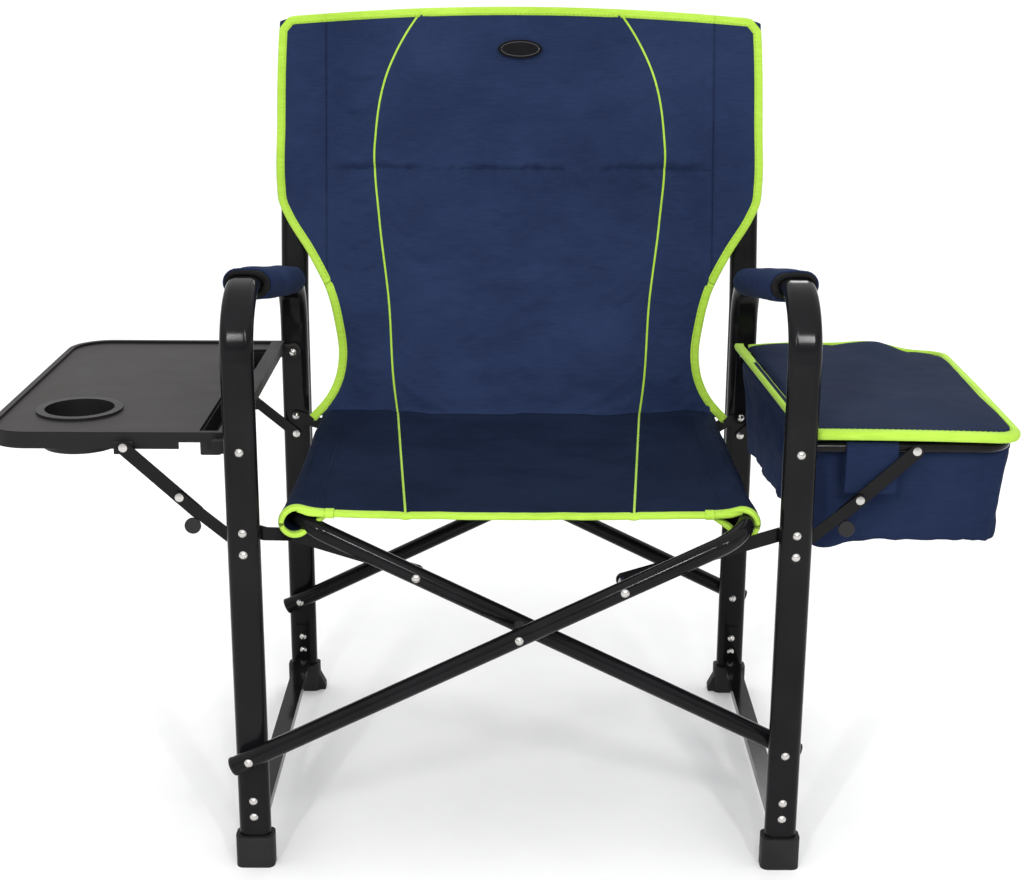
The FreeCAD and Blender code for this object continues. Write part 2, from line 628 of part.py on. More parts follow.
def strut_top_rivets(side, faces, depth):
    """Rivets through the upper ends of the struts into the piece at faces that they hold up."""
    x = side * STRUT_TOP_X
    rivets = []
    for front, face, inward in ((True, faces[0], 1), (False, faces[1], -1)):
        low, high = strut_layers(front)[0]
        outer = low - 0.1 if front else high + 0.1
        inner = high + 0.2 if front else low - 0.2
        end = face + inward * depth
        shank = rod(x, STRUT_TOP_Z, min(outer, end), max(outer, end), PIN_R)
        parts = [dome(x, STRUT_TOP_Z, outer, -inward, LOW_HEAD)]
        if abs(face - inner) > 1:
            stop = face - inward * 0.2
            parts.append(rod(x, STRUT_TOP_Z, min(inner, stop), max(inner, stop), 4.5))
        rivets.append(solid_of(shank.fuse(parts).removeSplitter()))
    return rivets


def make_tray():
    """Write the side table."""
    save("tray_top", [tray_top()])
    save("tray_cup_holder", [tray_cup()])
    save("tray_pockets", [tray_pocket(ends) for ends in SLOT_ENDS])
    tab_faces = (strut_layers(True)[0][1] + 0.4, strut_layers(False)[0][0] - 0.4)
    save("tray_rivets", strut_top_rivets(-1, tab_faces, 8))
    make_struts("tray", -1)


# ---- cooler bag --------------------------------------------------------------------------
def bag_frame():
    """Bent tube that carries the bag, with a flat eye at each end."""
    z = HINGE_Z
    points = [V(LEG_X + 8, BAG_BAR_FRONT, z), V(BAG_BAR_X, BAG_BAR_FRONT, z),
              V(BAG_BAR_X, BAG_BAR_BACK, z), V(LEG_X + 8, BAG_BAR_BACK, z)]
    tube = swept_round(points, [34, 34], BAG_BAR_R)
    eyes = [rod(LEG_X, z, y - 4, y + 4, 9.5) for y in (BAG_BAR_FRONT, BAG_BAR_BACK)]
    tube = tube.fuse(eyes).removeSplitter()
    holes = [(LEG_X, z, FRONT_Y, BAG_BAR_FRONT + 9), (LEG_X, z, BAG_BAR_BACK - 9, REAR_Y),
             (STRUT_TOP_X, STRUT_TOP_Z, FRONT_Y, BAG_BAR_FRONT + 9),
             (STRUT_TOP_X, STRUT_TOP_Z, BAG_BAR_BACK - 9, REAR_Y)]
    return drilled(tube, holes)


def bag_box(x0, x1, y0, y1, z0, z1, radius):
    """Box with rounded upright corners."""
    return round_edges(box(x0, x1, y0, y1, z0, z1), radius, V(0, 0, 1))


def bag_block(inset, z0, z1):
    """Upright block with the bag's slanting chair side, shrunk all round by an inset."""
    y0 = BAG_FRONT + inset
    y1 = BAG_BACK - inset
    corners = [V(BAG_IN_FRONT + inset, y0, z0), V(BAG_OUT - inset, y0, z0), V(BAG_OUT - inset, y1, z0),
               V(BAG_IN_REAR + inset, y1, z0), V(BAG_IN_FRONT + inset, y0, z0)]
    block = Part.Face(Part.makePolygon(corners)).extrude(V(0, 0, z1 - z0))
    return round_edges(block, BAG_CORNER_R - inset, V(0, 0, 1))


def bag_body():
    """Soft open bag hanging in its frame."""
    outer = bag_block(0, BAG_LOW_Z, BAG_TOP_Z)
    inner = bag_block(BAG_WALL, BAG_LOW_Z + BAG_WALL, BAG_TOP_Z + 9)
    return solid_of(outer.cut(inner))


def bag_base():
    """Stiff board lying in the bottom of the bag."""
    high = BASE_LOW_Z + BASE_THICK
    return bag_box(BASE_IN, BASE_OUT, BAG_FRONT + BASE_EDGE, BAG_BACK - BASE_EDGE, BASE_LOW_Z, high, 14)


def bag_band():
    """Fixed padded edge of the bag on its chair side."""
    y0 = FRONT_Y + 14
    points = [V(BAND_FRONT_X, y0, BAND_LOW_Z), V(LID_IN - 1.5, y0, BAND_LOW_Z),
              V(LID_IN - 1.5, BAG_BACK, BAND_LOW_Z), V(BAND_REAR_X, BAG_BACK, BAND_LOW_Z),
              V(BAND_FRONT_X, y0, BAND_LOW_Z)]
    return solid_of(Part.Face(Part.makePolygon(points)).extrude(V(0, 0, BAND_THICK)))


def bag_lid():
    """Padded lid of the bag, hinged along its outer edge."""
    return bag_box(LID_IN, LID_OUT, FRONT_Y + 13.5, BAG_BACK, LID_LOW_Z, LID_TOP_Z, 16)


def make_bag():
    """Write the cooler bag."""
    save("bag_frame", [bag_frame()])
    save("bag_body", [bag_body()])
    save("bag_base", [bag_base()])
    save("bag_band", [bag_band()])
    save("bag_lid", [bag_lid()])
    bar_faces = (BAG_BAR_FRONT - BAG_BAR_R, BAG_BAR_BACK + BAG_BAR_R)
    save("bag_rivets", strut_top_rivets(1, bar_faces, 9))
    make_struts("bag", 1)


# ---- fabric ------------------------------------------------------------------------------
def seat_sling():
    """Seat fabric: a flat panel with a sleeve round each seat rail."""
    points = cross_points(1, FRONT_Y, REAR_Y)
    rail_x = points[1].x
    rail_z = points[1].z
    panel = box(rail_x, -rail_x, SEAT_FRONT, SEAT_BACK, SEAT_LOW_Z, SEAT_TOP_Z)
    left = rod(rail_x, rail_z, FRONT_Y + CROSS_STEP + CROSS_BEND_R, SEAT_BACK, CROSS_R + 4)
    right = rod(-rail_x, rail_z, SEAT_FRONT, SEAT_BACK - 20, CROSS_R + 4)
    sling = panel.fuse([left, right])
    sling = sling.cut([cross_solid(1, CROSS_STEP, CROSS_R + 0.4), cross_solid(-1, -CROSS_STEP, CROSS_R + 0.4)])
    return solid_of(sling.removeSplitter())


def back_outline():
    """Front view of the back fabric: wide above, waisted below, spread again at the seat."""
    half = [V(0, 0, 446), V(283, 0, 446), V(250, 0, 486), V(247, 0, 512), V(262, 0, 570),
            V(300, 0, 640), V(335, 0, 700), V(340, 0, 730), V(337, 0, 962), V(0, 0, 984)]
    curve = Part.BSplineCurve()
    curve.interpolate(half[1:8])
    edges = [Part.makeLine(half[0], half[1]), curve.toShape(), Part.makeLine(half[7], half[8]),
             Part.makeLine(half[8], half[9]), Part.makeLine(half[9], half[0])]
    right = Part.Face(Part.Wire(edges)).extrude(V(0, 700, 0))
    right.translate(V(0, -200, 0))
    return right.fuse(mirrored(right)).removeSplitter()


def back_sheet_points(offset):
    """Side view of the back fabric's path, in front of the posts by an offset."""
    lean = math.tan(math.radians(POST_LEAN))
    top_y = POST_Y + (990 - POST_KINK_Z) * lean
    return [V(0, REAR_Y - 32 - offset, 440), V(0, REAR_Y - 8 - offset, 560),
            V(0, POST_Y + 12 - offset, 690), V(0, top_y - offset, 990)]


def back_sling():
    """Back fabric: a leaning panel with a pocket round each post above the waist."""
    front = back_sheet_points(17)
    rear = back_sheet_points(11)
    panel = Part.Face(Part.makePolygon(front + rear[::-1] + [front[0]])).extrude(V(700, 0, 0))
    panel.translate(V(-350, 0, 0))
    pockets = []
    clearances = []
    for x in (-LEG_X, LEG_X):
        pockets.append(swept_oval(post_points(x), [POST_BEND_R], 4.5))
        clearances.append(swept_oval(post_points(x), [POST_BEND_R], 0.6))
    caps = [box(-345, 345, REAR_Y, REAR_Y + 200, 700, 1000)]
    pockets = [pocket.common(caps[0]) for pocket in pockets]
    sling = panel.common(back_outline()).fuse(pockets).cut(clearances)
    return solid_of(sling.removeSplitter())


def make_fabric():
    """Write the two slings."""
    save("seat_sling", [seat_sling()])
    save("back_sling", [back_sling()])


os.makedirs("parts", exist_ok=True)
make_side("left", -LEG_X)
make_side("right", LEG_X)
make_cross()
make_tray()
make_bag()
make_fabric()
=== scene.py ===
import logging
import math
from dataclasses import dataclass
from enum import Enum
from typing import Callable

import bpy
import numpy as np
from mathutils import Matrix, Vector, noise


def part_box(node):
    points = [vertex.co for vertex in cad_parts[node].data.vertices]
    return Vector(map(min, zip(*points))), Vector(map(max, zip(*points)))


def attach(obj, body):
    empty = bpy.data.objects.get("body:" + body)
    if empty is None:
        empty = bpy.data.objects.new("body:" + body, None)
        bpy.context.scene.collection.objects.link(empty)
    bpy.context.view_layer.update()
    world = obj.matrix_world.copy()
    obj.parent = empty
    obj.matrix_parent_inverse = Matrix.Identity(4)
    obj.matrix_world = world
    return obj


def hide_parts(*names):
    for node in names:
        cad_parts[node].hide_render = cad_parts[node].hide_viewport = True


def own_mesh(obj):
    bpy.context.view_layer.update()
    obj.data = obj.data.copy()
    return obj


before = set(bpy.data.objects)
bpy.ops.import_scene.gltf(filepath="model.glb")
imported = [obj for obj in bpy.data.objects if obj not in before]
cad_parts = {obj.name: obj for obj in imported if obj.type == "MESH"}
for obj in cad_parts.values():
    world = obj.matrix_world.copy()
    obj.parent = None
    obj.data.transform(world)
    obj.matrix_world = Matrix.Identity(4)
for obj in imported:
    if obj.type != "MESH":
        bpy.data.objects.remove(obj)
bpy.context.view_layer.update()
CENTRE_X = (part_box("left_side_tube")[0].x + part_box("right_side_tube")[1].x) / 2   # middle between the legs
LOG = logging.getLogger("camp_chair")
Row = tuple[float, float, float]


def box_of(node: str) -> tuple[Vector, Vector]:
    """Lowest and highest corners of a CAD node, with X from the middle between the legs."""
    low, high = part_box(node)
    shift = Vector((CENTRE_X, 0, 0))
    return low - shift, high - shift


class Slot(str, Enum):
    """Material slots of the record that a piece takes its finish from."""

    FRAME = "frame_black"
    NICKEL = "nickel"
    NAVY = "navy_fabric"
    TABLE = "black_plastic"
    GLOSS = "gloss_plastic"
    RUBBER = "rubber"
    FOAM = "foam"


class Side(Enum):
    """The two sides of the chair, as the sign of X."""

    LEFT = -1
    RIGHT = 1

    @property
    def word(self) -> str:
        """Name of the side as the CAD nodes spell it."""
        return self.name.lower()


# ---- finishes ----------------------------------------------------------------------------
class ShaderGraph:
    """Node tree of one material, wired from the object's own coordinates."""

    def __init__(self, name: str) -> None:
        """Start an empty material around one Principled shader.

        Args:
            name: name of the material.
        """
        self.material = bpy.data.materials.new(name)
        self.material.use_nodes = True
        self.tree = self.material.node_tree
        self.shader = self.tree.nodes["Principled BSDF"]
        self.place = self.add("ShaderNodeTexCoord").outputs["Object"]

    def add(self, kind: str, **settings: object) -> bpy.types.Node:
        """Add a node and set its properties.

        Args:
            kind: the node's type name.
            settings: properties of the node.

        Returns:
            The new node.
        """
        node = self.tree.nodes.new(kind)
        for key, value in settings.items():
            setattr(node, key, value)
        return node

    def join(self, source: bpy.types.NodeSocket, target: bpy.types.NodeSocket) -> None:
        """Link one socket to another."""
        self.tree.links.new(source, target)

    def number(self, operation: str, a: object, b: object = 0.0) -> bpy.types.NodeSocket:
        """Combine two numbers or sockets.

        Args:
            operation: name of the Math operation.
            a: first number or socket.
            b: second number or socket.

        Returns:
            The result socket.
        """
        node = self.add("ShaderNodeMath", operation=operation)
        for socket, value in zip(node.inputs, (a, b)):
            if isinstance(value, (int, float)):
                socket.default_value = value
            else:
                self.join(value, socket)
        return node.outputs[0]

    def clouds(self, scale: float, detail: float = 3.0, stretch: Row = (1, 1, 1)) -> bpy.types.NodeSocket:
        """Add a noise texture over the object.

        Args:
            scale: blobs per metre.
            detail: octaves.
            stretch: scale of each axis.

        Returns:
            The noise value, about 0.3 to 0.7.
        """
        mapping = self.add("ShaderNodeMapping")
        mapping.inputs["Scale"].default_value = stretch
        texture = self.add("ShaderNodeTexNoise")
        texture.inputs["Scale"].default_value = scale
        texture.inputs["Detail"].default_value = detail
        self.join(self.place, mapping.inputs["Vector"])
        self.join(mapping.outputs["Vector"], texture.inputs["Vector"])
        return texture.outputs["Fac"]

    def ripple(self, direction: Row, pitch: float) -> bpy.types.NodeSocket:
        """Add a sine wave that runs along a direction.

        Args:
            direction: direction of the wave.
            pitch: length of one wave in metres.

        Returns:
            The wave, from -1 to 1.
        """
        dot = self.add("ShaderNodeVectorMath", operation="DOT_PRODUCT")
        self.join(self.place, dot.inputs[0])
        dot.inputs[1].default_value = direction
        return self.number("SINE", self.number("MULTIPLY", dot.outputs["Value"], math.tau / pitch))

    def spread(self, value: bpy.types.NodeSocket, low: float, high: float) -> bpy.types.NodeSocket:
        """Map a noise value to a range.

        Args:
            value: noise value, about 0.3 to 0.7.
            low: result at 0.3.
            high: result at 0.7.

        Returns:
            The mapped socket.
        """
        node = self.add("ShaderNodeMapRange")
        node.inputs["From Min"].default_value = 0.3
        node.inputs["From Max"].default_value = 0.7
        node.inputs["To Min"].default_value = low
        node.inputs["To Max"].default_value = high
        self.join(value, node.inputs["Value"])
        return node.outputs["Result"]

    def colour_between(self, factor: bpy.types.NodeSocket, dark: Row, light: Row) -> None:
        """Colour the shader between two tones."""
        mix = self.add("ShaderNodeMix", data_type="RGBA")
        mix.inputs["A"].default_value = (*dark, 1.0)
        mix.inputs["B"].default_value = (*light, 1.0)
        self.join(factor, mix.inputs["Factor"])
        self.join(mix.outputs["Result"], self.shader.inputs["Base Color"])

    def shade_sides(self, shade: float) -> None:
        """Paint shade on the faces that don't look up, darkening them as if less light fell on them.

        Args:
            shade: share of the colour that upright faces keep.
        """
        colour = self.shader.inputs["Base Color"].links[0].from_socket
        place = self.add("ShaderNodeTexCoord")
        split = self.add("ShaderNodeSeparateXYZ")
        self.join(place.outputs["Normal"], split.inputs["Vector"])
        # Painted shade: the colour is scaled down where the surface normal points less upwards.
        ramp = self.add("ShaderNodeMapRange")
        ramp.inputs["From Min"].default_value = 0.5
        ramp.inputs["From Max"].default_value = 0.9
        ramp.inputs["To Min"].default_value = shade
        ramp.inputs["To Max"].default_value = 1.0
        self.join(split.outputs["Z"], ramp.inputs["Value"])
        scaled = self.add("ShaderNodeVectorMath", operation="SCALE")
        self.join(colour, scaled.inputs["Vector"])
        self.join(ramp.outputs["Result"], scaled.inputs["Scale"])
        self.join(scaled.outputs["Vector"], self.shader.inputs["Base Color"])

    def raise_by(self, height: bpy.types.NodeSocket, depth: float) -> None:
        """Bump the surface.

        Args:
            height: height from 0 to 1.
            depth: metres that a height of 1 stands for.
        """
        bump = self.add("ShaderNodeBump")
        bump.inputs["Distance"].default_value = depth
        bump.inputs["Strength"].default_value = 1.0
        self.join(height, bump.inputs["Height"])
        self.join(bump.outputs["Normal"], self.shader.inputs["Normal"])


@dataclass(frozen=True)
class WovenFinish:
    """Woven polyester: over-and-under threads, slubs and broad colour drift."""

    name: str
    dark: Row
    light: Row
    warp: Row = (1.0, 0.0, 0.0)
    weft: Row = (0.0, 0.0, 1.0)
    pitch: float = 0.0011
    roughness: float = 0.8
    sheen: float = 0.0

    def build(self) -> bpy.types.Material:
        """Make the material, or return it if it is there already."""
        if self.name in bpy.data.materials:
            return bpy.data.materials[self.name]
        graph = ShaderGraph(self.name)
        weave = graph.number("MULTIPLY", graph.ripple(self.warp, self.pitch), graph.ripple(self.weft, self.pitch))
        slubs = graph.clouds(420, 2, tuple(0.12 if w else 1.0 for w in self.warp))
        drift = graph.clouds(7, 4)
        tone = graph.number("ADD", graph.spread(drift, 0.1, 0.9), graph.number("MULTIPLY", weave, 0.22))
        tone = graph.number("ADD", tone, graph.spread(slubs, -0.22, 0.22))
        graph.colour_between(tone, self.dark, self.light)
        height = graph.number("ADD", graph.number("MULTIPLY", weave, 0.35), slubs)
        graph.raise_by(height, 0.00028)
        graph.join(graph.spread(slubs, self.roughness - 0.08, self.roughness + 0.1),
                   graph.shader.inputs["Roughness"])
        graph.shader.inputs["Sheen Weight"].default_value = self.sheen
        graph.shader.inputs["Sheen Roughness"].default_value = 0.45
        graph.shader.inputs["Specular IOR Level"].default_value = 0.05
        return graph.material


@dataclass(frozen=True)
class HardFinish:
    """Paint, metal, plastic, rubber or foam, with its own grain and smudges, and optional painted shade on faces that
    don't look up.
    """

    name: str
    dark: Row
    light: Row
    rough_low: float
    rough_high: float
    grain: float = 900.0
    grain_depth: float = 0.00002
    metallic: float = 0.0
    coat: float = 0.0
    specular: float = 0.5
    side_shade: float = 1.0

    def build(self) -> bpy.types.Material:
        """Make the material, or return it if it is there already."""
        if self.name in bpy.data.materials:
            return bpy.data.materials[self.name]
        graph = ShaderGraph(self.name)
        smudges = graph.clouds(14, 5)
        grain = graph.clouds(self.grain, 3)
        graph.colour_between(graph.spread(smudges, 0.0, 1.0), self.dark, self.light)
        # Optional painted shade on the sides. It stands in for their getting less light than the top.
        if self.side_shade < 1.0:
            graph.shade_sides(self.side_shade)
        graph.join(graph.spread(smudges, self.rough_low, self.rough_high), graph.shader.inputs["Roughness"])
        graph.raise_by(grain, self.grain_depth)
        graph.shader.inputs["Metallic"].default_value = self.metallic
        graph.shader.inputs["Coat Weight"].default_value = self.coat
        graph.shader.inputs["Coat Roughness"].default_value = 0.08
        graph.shader.inputs["Specular IOR Level"].default_value = self.specular
        return graph.material


NAVY_DARK = (0.0125, 0.0215, 0.058)
NAVY_LIGHT = (0.0225, 0.0365, 0.092)
# Seat navy: a darker copy of the same navy cloth. This is painted shade that makes the seat darker than the back.
SEAT_SHADED_DARK = (0.0060, 0.0110, 0.028)
SEAT_SHADED_LIGHT = (0.0110, 0.0190, 0.045)
BAG_DARK = (0.0085, 0.0155, 0.043)
BAG_LIGHT = (0.0155, 0.0265, 0.067)
LID_DARK = (0.0110, 0.0175, 0.039)
LID_LIGHT = (0.0190, 0.0280, 0.059)
BACK_CLOTH = WovenFinish("navy_oxford_back", NAVY_DARK, NAVY_LIGHT, (1, 0, 0), (0, 0.2, 1))
SEAT_SHADE_CLOTH = WovenFinish("navy_oxford_seat", SEAT_SHADED_DARK, SEAT_SHADED_LIGHT, (1, 0, 0), (0, 1, 0))
LID_CLOTH = WovenFinish("navy_oxford_lid", LID_DARK, LID_LIGHT, (1, 0, 0), (0, 1, 0))
BAG_CLOTH = WovenFinish("navy_oxford_bag", BAG_DARK, BAG_LIGHT, (0.8, 0.6, 0), (0, 0, 1))
ARM_CLOTH = WovenFinish("navy_oxford_arm", NAVY_DARK, NAVY_LIGHT, (0.7, 0, 0.7), (0, 1, 0))
LIME_TAPE = WovenFinish("lime_binding_tape", (0.33, 0.55, 0.045), (0.46, 0.72, 0.085), (1, 0.4, 0),
                        (0, 0.5, 1), 0.0013, 0.62, 0.1)
NAVY_THREAD = WovenFinish("navy_sewing_thread", (0.006, 0.012, 0.035), (0.03, 0.045, 0.10),
                          (1, 0, 0), (0, 0, 1), 0.0004)
LIME_THREAD = WovenFinish("lime_sewing_thread", (0.27, 0.46, 0.035), (0.38, 0.62, 0.06),
                          (1, 0, 0), (0, 0, 1), 0.0004)
GREY_THREAD = WovenFinish("grey_sewing_thread", (0.16, 0.16, 0.17), (0.3, 0.3, 0.31),
                          (1, 0, 0), (0, 0, 1), 0.0004)
PATCH_CLOTH = WovenFinish("black_patch_cloth", (0.006, 0.006, 0.007), (0.014, 0.014, 0.015),
                          (1, 0, 0), (0, 0.2, 1), 0.0007)
FINISHES = {
    Slot.FRAME: HardFinish("black_powder_coat", (0.004, 0.004, 0.0045), (0.008, 0.008, 0.009),
                           0.07, 0.16, 520, 0.00002, specular=0.11),
    Slot.NICKEL: HardFinish("nickel_plate", (0.42, 0.41, 0.39), (0.60, 0.58, 0.56),
                            0.14, 0.30, 1400, 0.00001, metallic=1.0),
    # Tray plastic: painted shade darkens its sides and front skirt below the top.
    Slot.TABLE: HardFinish("leather_grain_plastic", (0.030, 0.0275, 0.0272), (0.040, 0.0368, 0.0362),
                           0.44, 0.56, 1150, 0.00009, specular=0.14, side_shade=0.3),
    Slot.GLOSS: HardFinish("gloss_moulded_plastic", (0.006, 0.006, 0.0065), (0.011, 0.011, 0.012),
                           0.16, 0.30, 260, 0.00002, specular=0.25),
    Slot.RUBBER: HardFinish("boot_rubber", (0.009, 0.009, 0.0095), (0.018, 0.018, 0.018),
                            0.52, 0.74, 700, 0.00006, specular=0.2),
    Slot.FOAM: HardFinish("arm_foam", (0.004, 0.004, 0.004), (0.014, 0.014, 0.015),
                          0.85, 0.98, 620, 0.0009, specular=0.15),
}
# Painted shade: a darker copy of the tray plastic for the cup holder and pockets, for the shade that falls in their
# recesses.
RECESS_SHADE_PLASTIC = HardFinish("black_cup_plastic", (0.011, 0.010, 0.010), (0.019, 0.018, 0.018), 0.30, 0.45, 900,
                         0.00005, specular=0.2)
NODE_FINISHES = {"tray_cup_holder": RECESS_SHADE_PLASTIC, "tray_pockets": RECESS_SHADE_PLASTIC}


# ---- mesh tools --------------------------------------------------------------------------
def through(x: np.ndarray | float, places: list[float], values: list[float]) -> np.ndarray:
    """Run a smooth curve through a few knots.

    Args:
        x: where to read the curve.
        places: the knots' places, rising.
        values: the knots' values.

    Returns:
        The curve's values at x.
    """
    p = np.array(places, float)
    v = np.array(values, float)
    slope = np.gradient(v, p)
    x = np.clip(np.asarray(x, float), p[0], p[-1])
    i = np.clip(np.searchsorted(p, x, side="right") - 1, 0, len(p) - 2)
    h = p[i + 1] - p[i]
    t = (x - p[i]) / h
    return ((1 + 2 * t) * (1 - t) ** 2 * v[i] + t * (1 - t) ** 2 * h * slope[i]
            + t * t * (3 - 2 * t) * v[i + 1] + t * t * (t - 1) * h * slope[i + 1])


def smooth_step(x: np.ndarray | float, low: float, high: float) -> np.ndarray:
    """Ease from 0 at low to 1 at high."""
    t = np.clip((np.asarray(x, float) - low) / (high - low), 0, 1)
    return t * t * (3 - 2 * t)


def unit(rows: np.ndarray) -> np.ndarray:
    """Scale each row to length one."""
    return rows / np.maximum(np.linalg.norm(rows, axis=-1, keepdims=True), 1e-12)


def resampled(path: np.ndarray, step: float) -> np.ndarray:
    """Divide a path evenly.

    Args:
        path: points along the path.
        step: wanted distance between points, in metres.

    Returns:
        Points evenly spaced along the path.
    """
    reach = np.concatenate([[0], np.cumsum(np.linalg.norm(np.diff(path, axis=0), axis=1))])
    count = max(3, int(round(reach[-1] / step)) + 1)
    at = np.linspace(0, reach[-1], count)
    return np.stack([np.interp(at, reach, path[:, k]) for k in range(3)], axis=1)


def wrinkles(points: np.ndarray, scale: Row, size: float, seed: float) -> np.ndarray:
    """Read a repeatable wrinkle field.

    Args:
        points: where to read it, any shape ending in 3.
        scale: waves per metre along each axis.
        size: height of the wrinkles in metres.
        seed: offset that picks another part of the field.

    Returns:
        Heights, one for each point.
    """
    flat = points.reshape(-1, 3) * np.array(scale) + seed
    values = [noise.fractal(Vector(p), 0.9, 2.1, 3, noise_basis="PERLIN_ORIGINAL") for p in flat]
    return size * np.array(values).reshape(points.shape[:-1])


def make_piece(name: str, points: np.ndarray, faces: list, finish: object, slot: Slot,
               body: str) -> bpy.types.Object:
    """Make a smooth mesh piece, dress it and let it ride on a body.

    Args:
        name: the piece's name.
        points: vertices in metres, with X from the middle between the legs.
        faces: tuples of vertex numbers.
        finish: the finish that dresses it.
        slot: not used.
        body: the CAD body that it moves with.

    Returns:
        The new object.
    """
    mesh = bpy.data.meshes.new(name)
    mesh.from_pydata([(float(x) + CENTRE_X, float(y), float(z)) for x, y, z in points.reshape(-1, 3)], [], faces)
    mesh.validate()
    mesh.polygons.foreach_set("use_smooth", [True] * len(mesh.polygons))
    piece = bpy.data.objects.new(name, mesh)
    bpy.context.scene.collection.objects.link(piece)
    mesh.materials.append(finish.build())
    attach(piece, body)
    LOG.info("%s rides on %s", name, body)
    return piece


def grid_faces(rows: int, columns: int, first: int = 0, wrap: bool = False, flip: bool = False) -> list:
    """Number the quads of a grid of points.

    Args:
        rows: number of rows.
        columns: number of columns.
        first: number of the first vertex.
        wrap: whether the last column joins the first.
        flip: whether the faces look the other way.

    Returns:
        The quads.
    """
    faces = []
    for r in range(rows - 1):
        for c in range(columns if wrap else columns - 1):
            a = first + r * columns + c
            b = first + r * columns + (c + 1) % columns
            quad = (a, b, b + columns, a + columns)
            faces.append(quad[::-1] if flip else quad)
    return faces


def grid_normals(grid: np.ndarray, wrap: bool = False) -> np.ndarray:
    """Work out the normals of a grid of points.

    Args:
        grid: points, rows by columns by 3.
        wrap: whether the last column joins the first.

    Returns:
        Unit normals, the same shape.
    """
    down = np.gradient(grid, axis=0)
    if wrap:
        across = np.roll(grid, -1, axis=1) - np.roll(grid, 1, axis=1)
    else:
        across = np.gradient(grid, axis=1)
    return unit(np.cross(across, down))


def shell(grid: np.ndarray, thickness: float, wrap: bool = False) -> tuple[np.ndarray, list]:
    """Give a grid of points a thickness and close its edges.

    Args:
        grid: points of the middle surface, rows by columns by 3.
        thickness: thickness in metres.
        wrap: whether the last column joins the first.

    Returns:
        Vertices and faces of the closed shell.
    """
    rows, columns = grid.shape[:2]
    lift = grid_normals(grid, wrap) * thickness / 2
    points = np.concatenate([(grid + lift).reshape(-1, 3), (grid - lift).reshape(-1, 3)])
    count = rows * columns
    faces = grid_faces(rows, columns, 0, wrap) + grid_faces(rows, columns, count, wrap, True)
    rims = [[c for c in range(columns)], [(rows - 1) * columns + c for c in range(columns)][::-1]]
    if not wrap:
        rims.append([r * columns for r in range(rows)][::-1])
        rims.append([r * columns + columns - 1 for r in range(rows)])
    for rim in rims:
        ring = list(zip(rim, rim[1:] + ([rim[0]] if wrap else [])))
        faces += [(b, a, a + count, b + count) for a, b in ring]
    return points, faces


def sweep(path: np.ndarray, normals: np.ndarray, profile: np.ndarray, sign: float = 1.0,
          closed: bool = False) -> tuple[np.ndarray, list]:
    """Sweep a closed profile along a path.

    Args:
        path: points along the path.
        normals: surface normals at those points.
        profile: points of the profile as (towards the inside, along the normal).
        sign: 1 or -1, picks the side that counts as the inside.
        closed: whether the path is a loop.

    Returns:
        Vertices and faces.
    """
    if closed:
        along = unit(np.roll(path, -1, axis=0) - np.roll(path, 1, axis=0))
    else:
        along = unit(np.gradient(path, axis=0))
    side = unit(np.cross(normals, along)) * sign
    up = unit(np.cross(along, side)) * sign
    rings = path[:, None] + side[:, None] * profile[None, :, :1] + up[:, None] * profile[None, :, 1:]
    count = len(profile)
    stations = len(path)
    faces = grid_faces(stations, count, 0, True, sign < 0)
    if closed:
        last = (stations - 1) * count
        faces += [(last + c, last + (c + 1) % count, (c + 1) % count, c) for c in range(count)]
    else:
        faces += [tuple(range(count))[::-1], tuple(range((stations - 1) * count, stations * count))]
    return rings.reshape(-1, 3), faces


def tape_profile(width: float, half: float, lip: float = 0.0014) -> np.ndarray:
    """Outline of a folded binding tape that grips a fabric edge.

    Args:
        width: how far the tape reaches in from the edge.
        half: half its thickness.
        lip: how far it stands out past the edge.

    Returns:
        Points as (towards the inside, along the normal).
    """
    right = [(width, half * 0.55), (width * 0.97, half * 0.92), (width * 0.8, half), (width * 0.5, half * 1.04),
             (width * 0.2, half), (0.0, half * 0.92), (-lip * 0.7, half * 0.6), (-lip, 0.0)]
    return np.array(right + [(a, -b) for a, b in right[-2::-1]])


def round_profile(radius: float, flat: float = 1.0) -> np.ndarray:
    """Outline of a cord, flattened along the normal."""
    turn = np.linspace(0, math.tau, 10, endpoint=False)
    return np.stack([radius * np.cos(turn), radius * flat * np.sin(turn)], axis=1)


def stitch_run(path: np.ndarray, normals: np.ndarray, pitch: float = 0.0062, length: float = 0.0044,
               radius: float = 0.00055) -> tuple[np.ndarray, list]:
    """Lay a run of thread stitches along a path.

    Args:
        path: points along the seam.
        normals: surface normals at those points.
        pitch: distance from stitch to stitch.
        length: length of one stitch.
        radius: thickness of the thread, as a radius.

    Returns:
        Vertices and faces of all the stitches.
    """
    even = resampled(path, pitch)
    reach = np.linspace(0, 1, len(path))
    spread = np.linspace(0, 1, len(even))
    up = unit(np.stack([np.interp(spread, reach, normals[:, k]) for k in range(3)], axis=1))
    along = unit(np.gradient(even, axis=0))
    side = unit(np.cross(up, along))
    turn = np.linspace(0, math.tau, 6, endpoint=False)
    points = []
    faces = []
    for centre, a, s, u in zip(even, along, side, up):
        first = len(points)
        points.append(centre - a * length / 2)
        for k in (-0.36, 0.0, 0.36):
            r = radius * (1.0 if k == 0 else 0.75)
            points += [centre + a * k * length + (s * math.cos(t) + u * math.sin(t)) * r for t in turn]
        points.append(centre + a * length / 2)
        last = len(points) - 1
        faces += [(first, first + 1 + (c + 1) % 6, first + 1 + c) for c in range(6)]
        faces += grid_faces(3, 6, first + 1, True)
        faces += [(last, last - 6 + c, last - 6 + (c + 1) % 6) for c in range(6)]
    return np.array(points), faces


